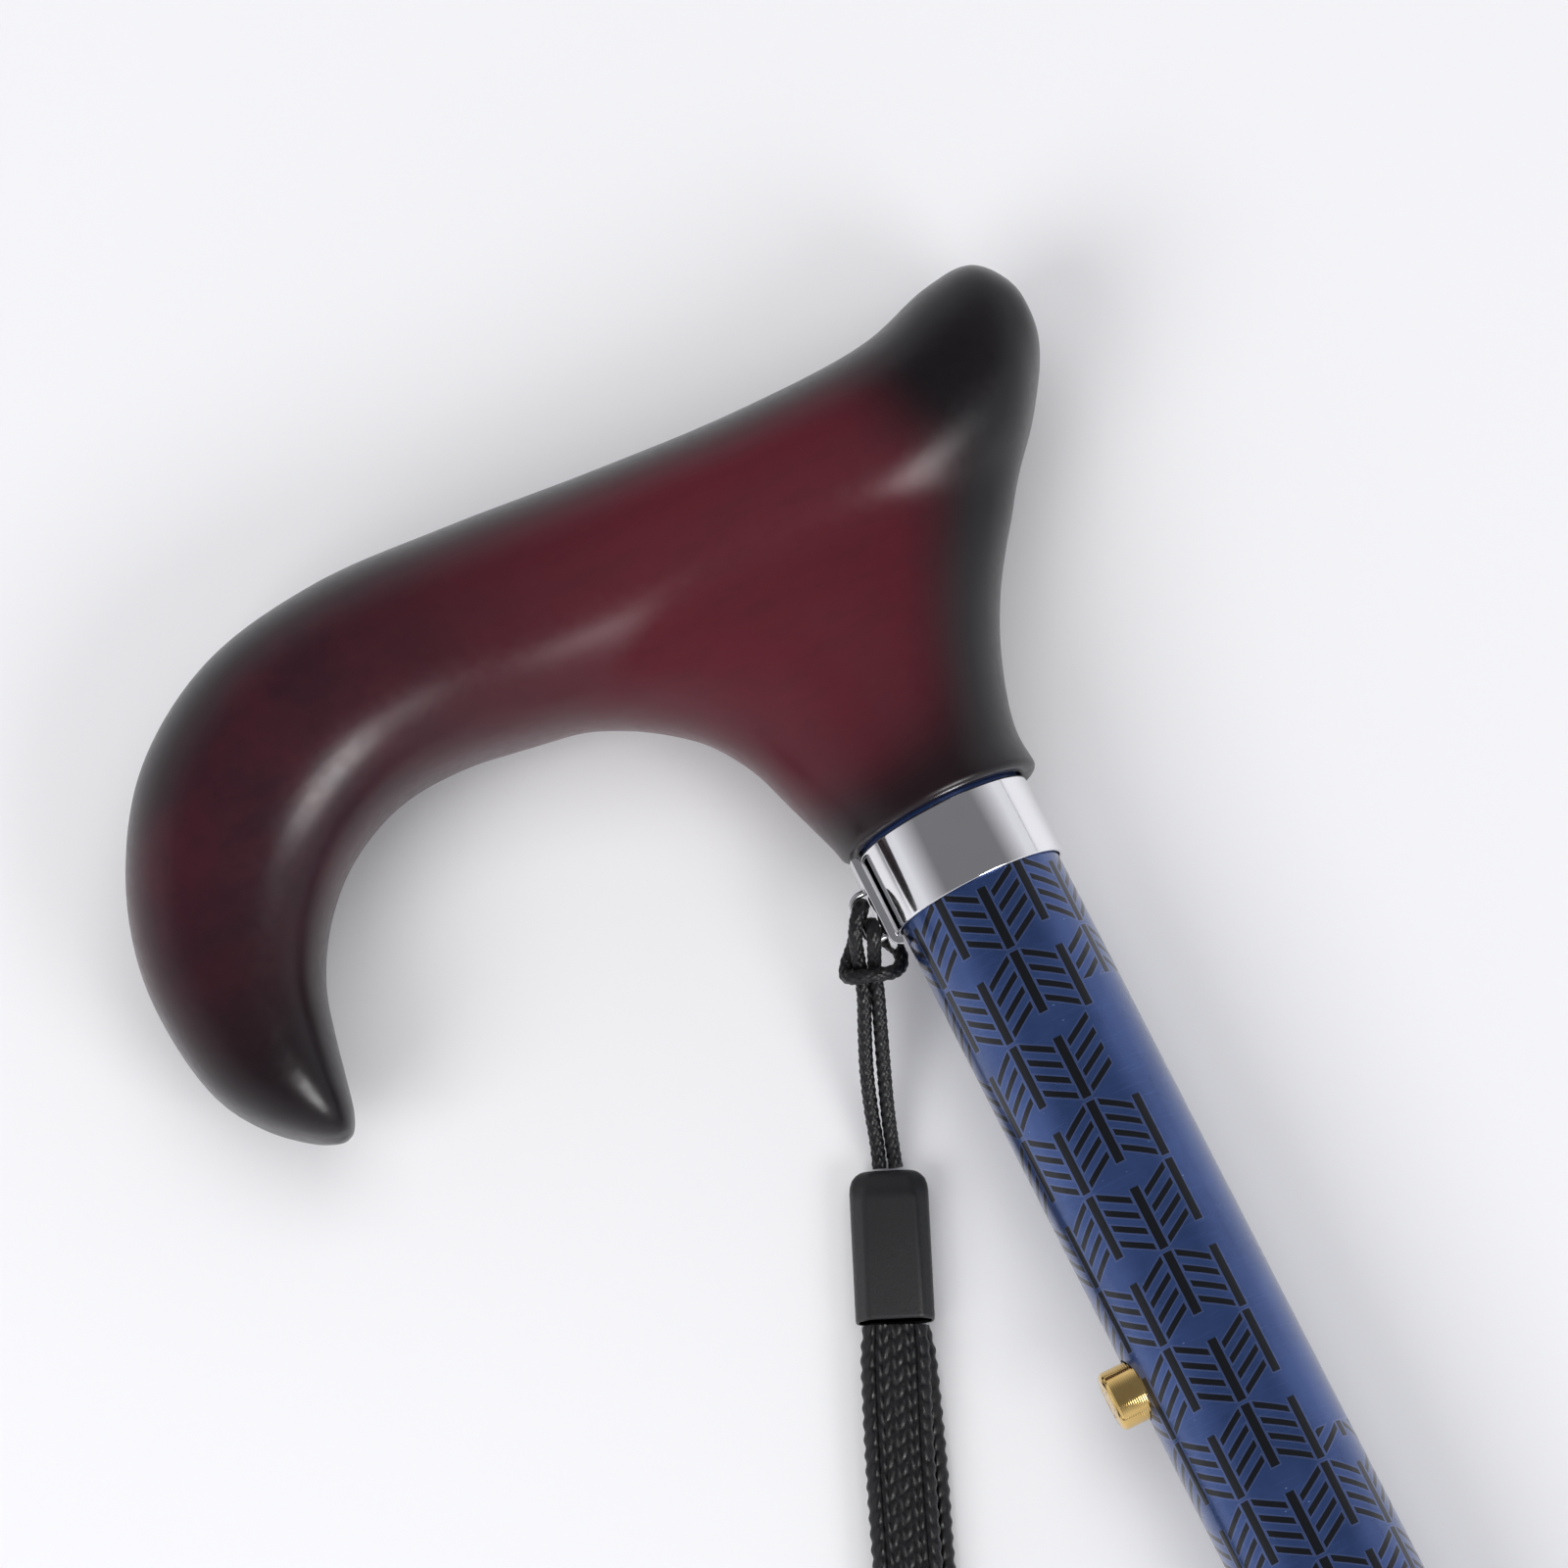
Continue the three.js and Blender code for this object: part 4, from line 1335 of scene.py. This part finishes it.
# ---------------- bush and lock ring
def end_bush():
    skirt = 12.6
    nose = 11.8
    seat = UPPER_TUBE_END - 0.4
    end = UPPER_TUBE_END - 9
    mouth = UPPER_TUBE_END + 16
    over_tube = TUBE_R + 0.15
    return turned("end_bush", rounded([
        (RUNNING_R, end),
        (nose, end),
        (nose, seat - 1),
        (skirt, seat - 1),
        (skirt, mouth, 0.6),
        (over_tube, mouth),
        (over_tube, seat),
        (RUNNING_R, seat),
    ]))


def grip_ring():
    """The lock ring: a nut with rounded flutes, softened ends and a stepped bore."""
    top = UPPER_TUBE_END - 1.8
    bottom = top - 15.4
    flutes = 16
    flute_depth = 0.8
    sides = 320
    outer = 14.6
    # From an end inwards: how far in from the outside, how far from the end, how much flute.
    shoulder = [(1.0, 0, 0.0), (0.35, 0.25, 0.35), (0, 1.0, 0.8), (0, 2.2, 1.0)]
    body = [(outer - inset, bottom + rise, flute) for inset, rise, flute in shoulder]
    body += [(outer - inset, top - rise, flute) for inset, rise, flute in reversed(shoulder)]
    bore = [(12.3, top), (12.3, top - 7.4), (10.9, bottom + 1), (10.2, bottom + 1), (10.2, bottom)]
    body += [(radius, along, 0.0) for radius, along in bore]
    rings = []
    for radius, along, flute in body:
        ring = []
        for angle in angles_of(sides):
            groove = max(0.0, math.cos(angle * flutes)) ** 0.8
            reach = radius - flute_depth * groove * flute
            ring.append(at(along, reach * math.sin(angle), reach * math.cos(angle)))
        rings.append(ring)
    return skin("grip_ring", rings, loop=True, sharp=35)


finish_piece(end_bush(), BLACK_PLASTIC, "cane_top", "black_plastic", "tube_bushing")
finish_piece(grip_ring(), BLACK_PLASTIC, "lock", "black_plastic", "lock_ring")


# ---------------- rubber tip
def ferrule():
    """The rubber tip: a bell with a rolled mouth, a waist and rings cut in its sole."""
    base = AXIS_HEIGHT - 0.02
    groove = SOLE + 1.1
    mouth = SOLE + 46
    bore = LOWER_R + 0.2
    corners = [(bore, TIP_FLOOR), (0.05, TIP_FLOOR, 0), (0.05, SOLE, 0)]
    for low, high in ((5.4, 7.8), (10.2, 12.6)):
        corners += [(low, SOLE), (low + 0.5, groove), (high - 0.5, groove), (high, SOLE)]
    corners += [
        (base - 0.2, SOLE, 0.7),
        (base, SOLE + 1.2, 0.5),
        (base, SOLE + 6, 0.8),
        (base - 0.9, SOLE + 7.6, 0.8),
        (base - 0.9, SOLE + 8.6, 0.4),
        (14.1, SOLE + 12, 2),
        (13.2, SOLE + 19, 3),
        (12.7, SOLE + 38.5, 1),
        (13.4, SOLE + 41, 0.6),
        (13.4, mouth - 0.4, 0.9),
        (bore, mouth, 0.5),
    ]
    return turned("ferrule", rounded(corners, radius=0.3)[::-1], sides=160, sharp=35)


finish_piece(ferrule(), RUBBER, "lower_section", "rubber", "rubber_tip")


# ---------------- connector
def on_connector(x, y, z):
    """A point of the connector's own frame: x towards the band, z up from its parting plane."""
    turn = math.radians(CONNECTOR["turn"])
    along = CONNECTOR["along"] + x * math.cos(turn) - y * math.sin(turn)
    hook = CONNECTOR["hook"] + x * math.sin(turn) + y * math.cos(turn)
    return on_table(along, hook, CONNECTOR["thick"] / 2 + 0.1 + z)


def connector_shell(name, side):
    """Half of the connector: a flat panel with bevelled sides, sloping down to the cord's end."""
    back = -CONNECTOR["length"] / 2
    front = -back
    half_width = CONNECTOR["width"] / 2
    height = CONNECTOR["thick"] / 2
    parting = 0.12

    def ring(x, width, panel, top, flank):
        corners = [
            (-width, parting, 0.05),
            (-width, flank, 0.7),
            (-panel, top, 0.5),
            (panel, top, 0.5),
            (width, flank, 0.7),
            (width, parting, 0.05),
        ]
        return [on_connector(x, y, z * side) for y, z in rounded(corners, steps=5)]

    rings = [
        ring(back, half_width - 1.9, 2.1, 1.2, 0.7),
        ring(back + 0.12, half_width - 1.45, 2.3, 1.5, 0.85),
        ring(back + 0.5, half_width - 0.85, 2.5, 1.85, 1.0),
        ring(back + 1.1, half_width - 0.35, 2.7, 2.12, 1.15),
        ring(back + 1.9, half_width - 0.08, 2.95, 2.4, 1.3),
        ring(back + 2.6, half_width, 3.1, 2.7, 1.35),
        ring(back + 3.1, half_width, 3.2, height - 0.22, 1.4),
        ring(back + 3.5, half_width, 3.25, height - 0.05, 1.4),
        ring(back + 4.0, half_width, 3.3, height, 1.4),
        ring(front - 0.5, half_width, 3.5, height, 1.45),
        ring(front - 0.15, half_width - 0.05, 3.45, height - 0.06, 1.42),
        ring(front, half_width - 0.2, 3.3, height - 0.2, 1.35),
        ring(front, half_width - 0.42, 3.1, height - 0.5, 1.2),
        ring(front - 3, half_width - 0.5, 3.0, height - 0.6, 1.2),
    ]
    return skin(name, rings, sharp=45)


finish_piece(
    connector_shell("connector_face", 1), BLACK_PLASTIC, "wrist_strap", "black_plastic", "connector_front"
)
finish_piece(
    connector_shell("connector_rear", -1), BLACK_PLASTIC, "wrist_strap", "black_plastic", "connector_back"
)

# ---------------- the CAD pieces that stay
HIDDEN_FINISHES = {
    "handle_screw": STEEL,
    "screw_washer": STEEL,
    "tube_plug": GREY_PLASTIC,
    "tube_end_cap": GREY_PLASTIC,
    "button_spring": STEEL,
    "lock_collet": GREY_PLASTIC,
    "lower_plug": GREY_PLASTIC,
    "tip_washer": STEEL,
    "cord_crimp": STEEL,
}
for node_name, material in HIDDEN_FINISHES.items():
    paint(frame["nodes"][node_name], material)

# The leaf spring bends as the button goes in: its far side, at this hook value, stays where it is.
SPRING_FAR_SIDE = -7.4
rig.squash(
    frame["nodes"]["button_spring"],
    "button_press",
    axis=(0, 1, 0),
    anchor=at(BUTTON_AT, SPRING_FAR_SIDE),
    keep=0.6,
)

# ---------------- lights and floor
def make_floor():
    size = 6
    points = [(-size, -size, 0), (size, -size, 0), (size, size, 0), (-size, size, 0)]
    floor = mesh_object("floor", points, [(0, 1, 2, 3)])
    made = Finish("pale_floor", roughness=0.9, base_color=(0.86, 0.86, 0.875), specular_ior_level=0.2)
    paint(floor, made.material)
    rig.stage(floor)


def area_light(name, toward, elevation, distance, size, power, glossy=True, diffuse=True):
    """A square soft light. toward is degrees in the picture: 0 is its right side, 90 its top.

    A light can be kept out of reflections (glossy) or give nothing but reflections (not diffuse).
    """
    angle = math.radians(toward)
    rise = math.radians(elevation)
    flat = picture_right * math.cos(angle) + picture_up * math.sin(angle)
    direction = flat * math.cos(rise) + Vector((0, 0, 1)) * math.sin(rise)
    data = bpy.data.lights.new(name, "AREA")
    data.size = size
    data.energy = power
    light = bpy.data.objects.new(name, data)
    light.location = at(30, 20) + direction * distance
    light.rotation_mode = "QUATERNION"
    light.rotation_quaternion = direction.to_track_quat("Z", "Y")
    light.visible_glossy = glossy
    light.visible_diffuse = diffuse
    bpy.context.scene.collection.objects.link(light)


def make_world():
    """A pale room, darker overhead so that faces seen from above keep their colour."""
    world = bpy.data.worlds.new("studio")
    world.use_nodes = True
    tree = world.node_tree
    direction = tree.nodes.new("ShaderNodeTexCoord")
    parts = tree.nodes.new("ShaderNodeSeparateXYZ")
    tree.links.new(direction.outputs["Generated"], parts.inputs[0])
    strength = Wire(tree, parts.outputs["Z"]).ramp(0.25, 0.75, 0.8, 0.2)
    background = tree.nodes["Background"]
    background.inputs["Color"].default_value = (0.95, 0.95, 1.0, 1)
    tree.links.new(strength.socket, background.inputs["Strength"])
    bpy.context.scene.world = world


def make_lights():
    area_light("key", 222, 46, 1.6, 0.9, 11.6, glossy=False)
    area_light("side", 320, 43, 1.5, 0.6, 5)
    area_light("window", 322, 42, 1.5, 0.7, 11, diffuse=False)
    area_light("top", 100, 80, 1.8, 1.4, 12.3, glossy=False)
    make_world()
    bpy.context.scene.view_settings.view_transform = "Standard"


make_floor()
make_lights()

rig.cord(
    cord,
    exit=cord_route[0],
    length=cord_length,
    diameter=CORD_DIAMETER * MM,
    far_end="object",
    stiffness="limp",
    lay="hanging",
    path=cord_route,
    with_pieces=["cord_crimp", "connector_face", "connector_rear"],
)
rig.cord(
    band,
    exit=band_route[0],
    length=band_length,
    diameter=BAND_WIDTH * MM,
    far_end="object",
    stiffness="limp",
    lay="loose",
    path=band_route,
)

# ---------------- sizes
visual_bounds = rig.bounds()
with open("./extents.json", "w") as size_file:
    json.dump({
        "cad": [list(corner) for corner in cad_bounds],
        "visual": [list(corner) for corner in visual_bounds],
    }, size_file)
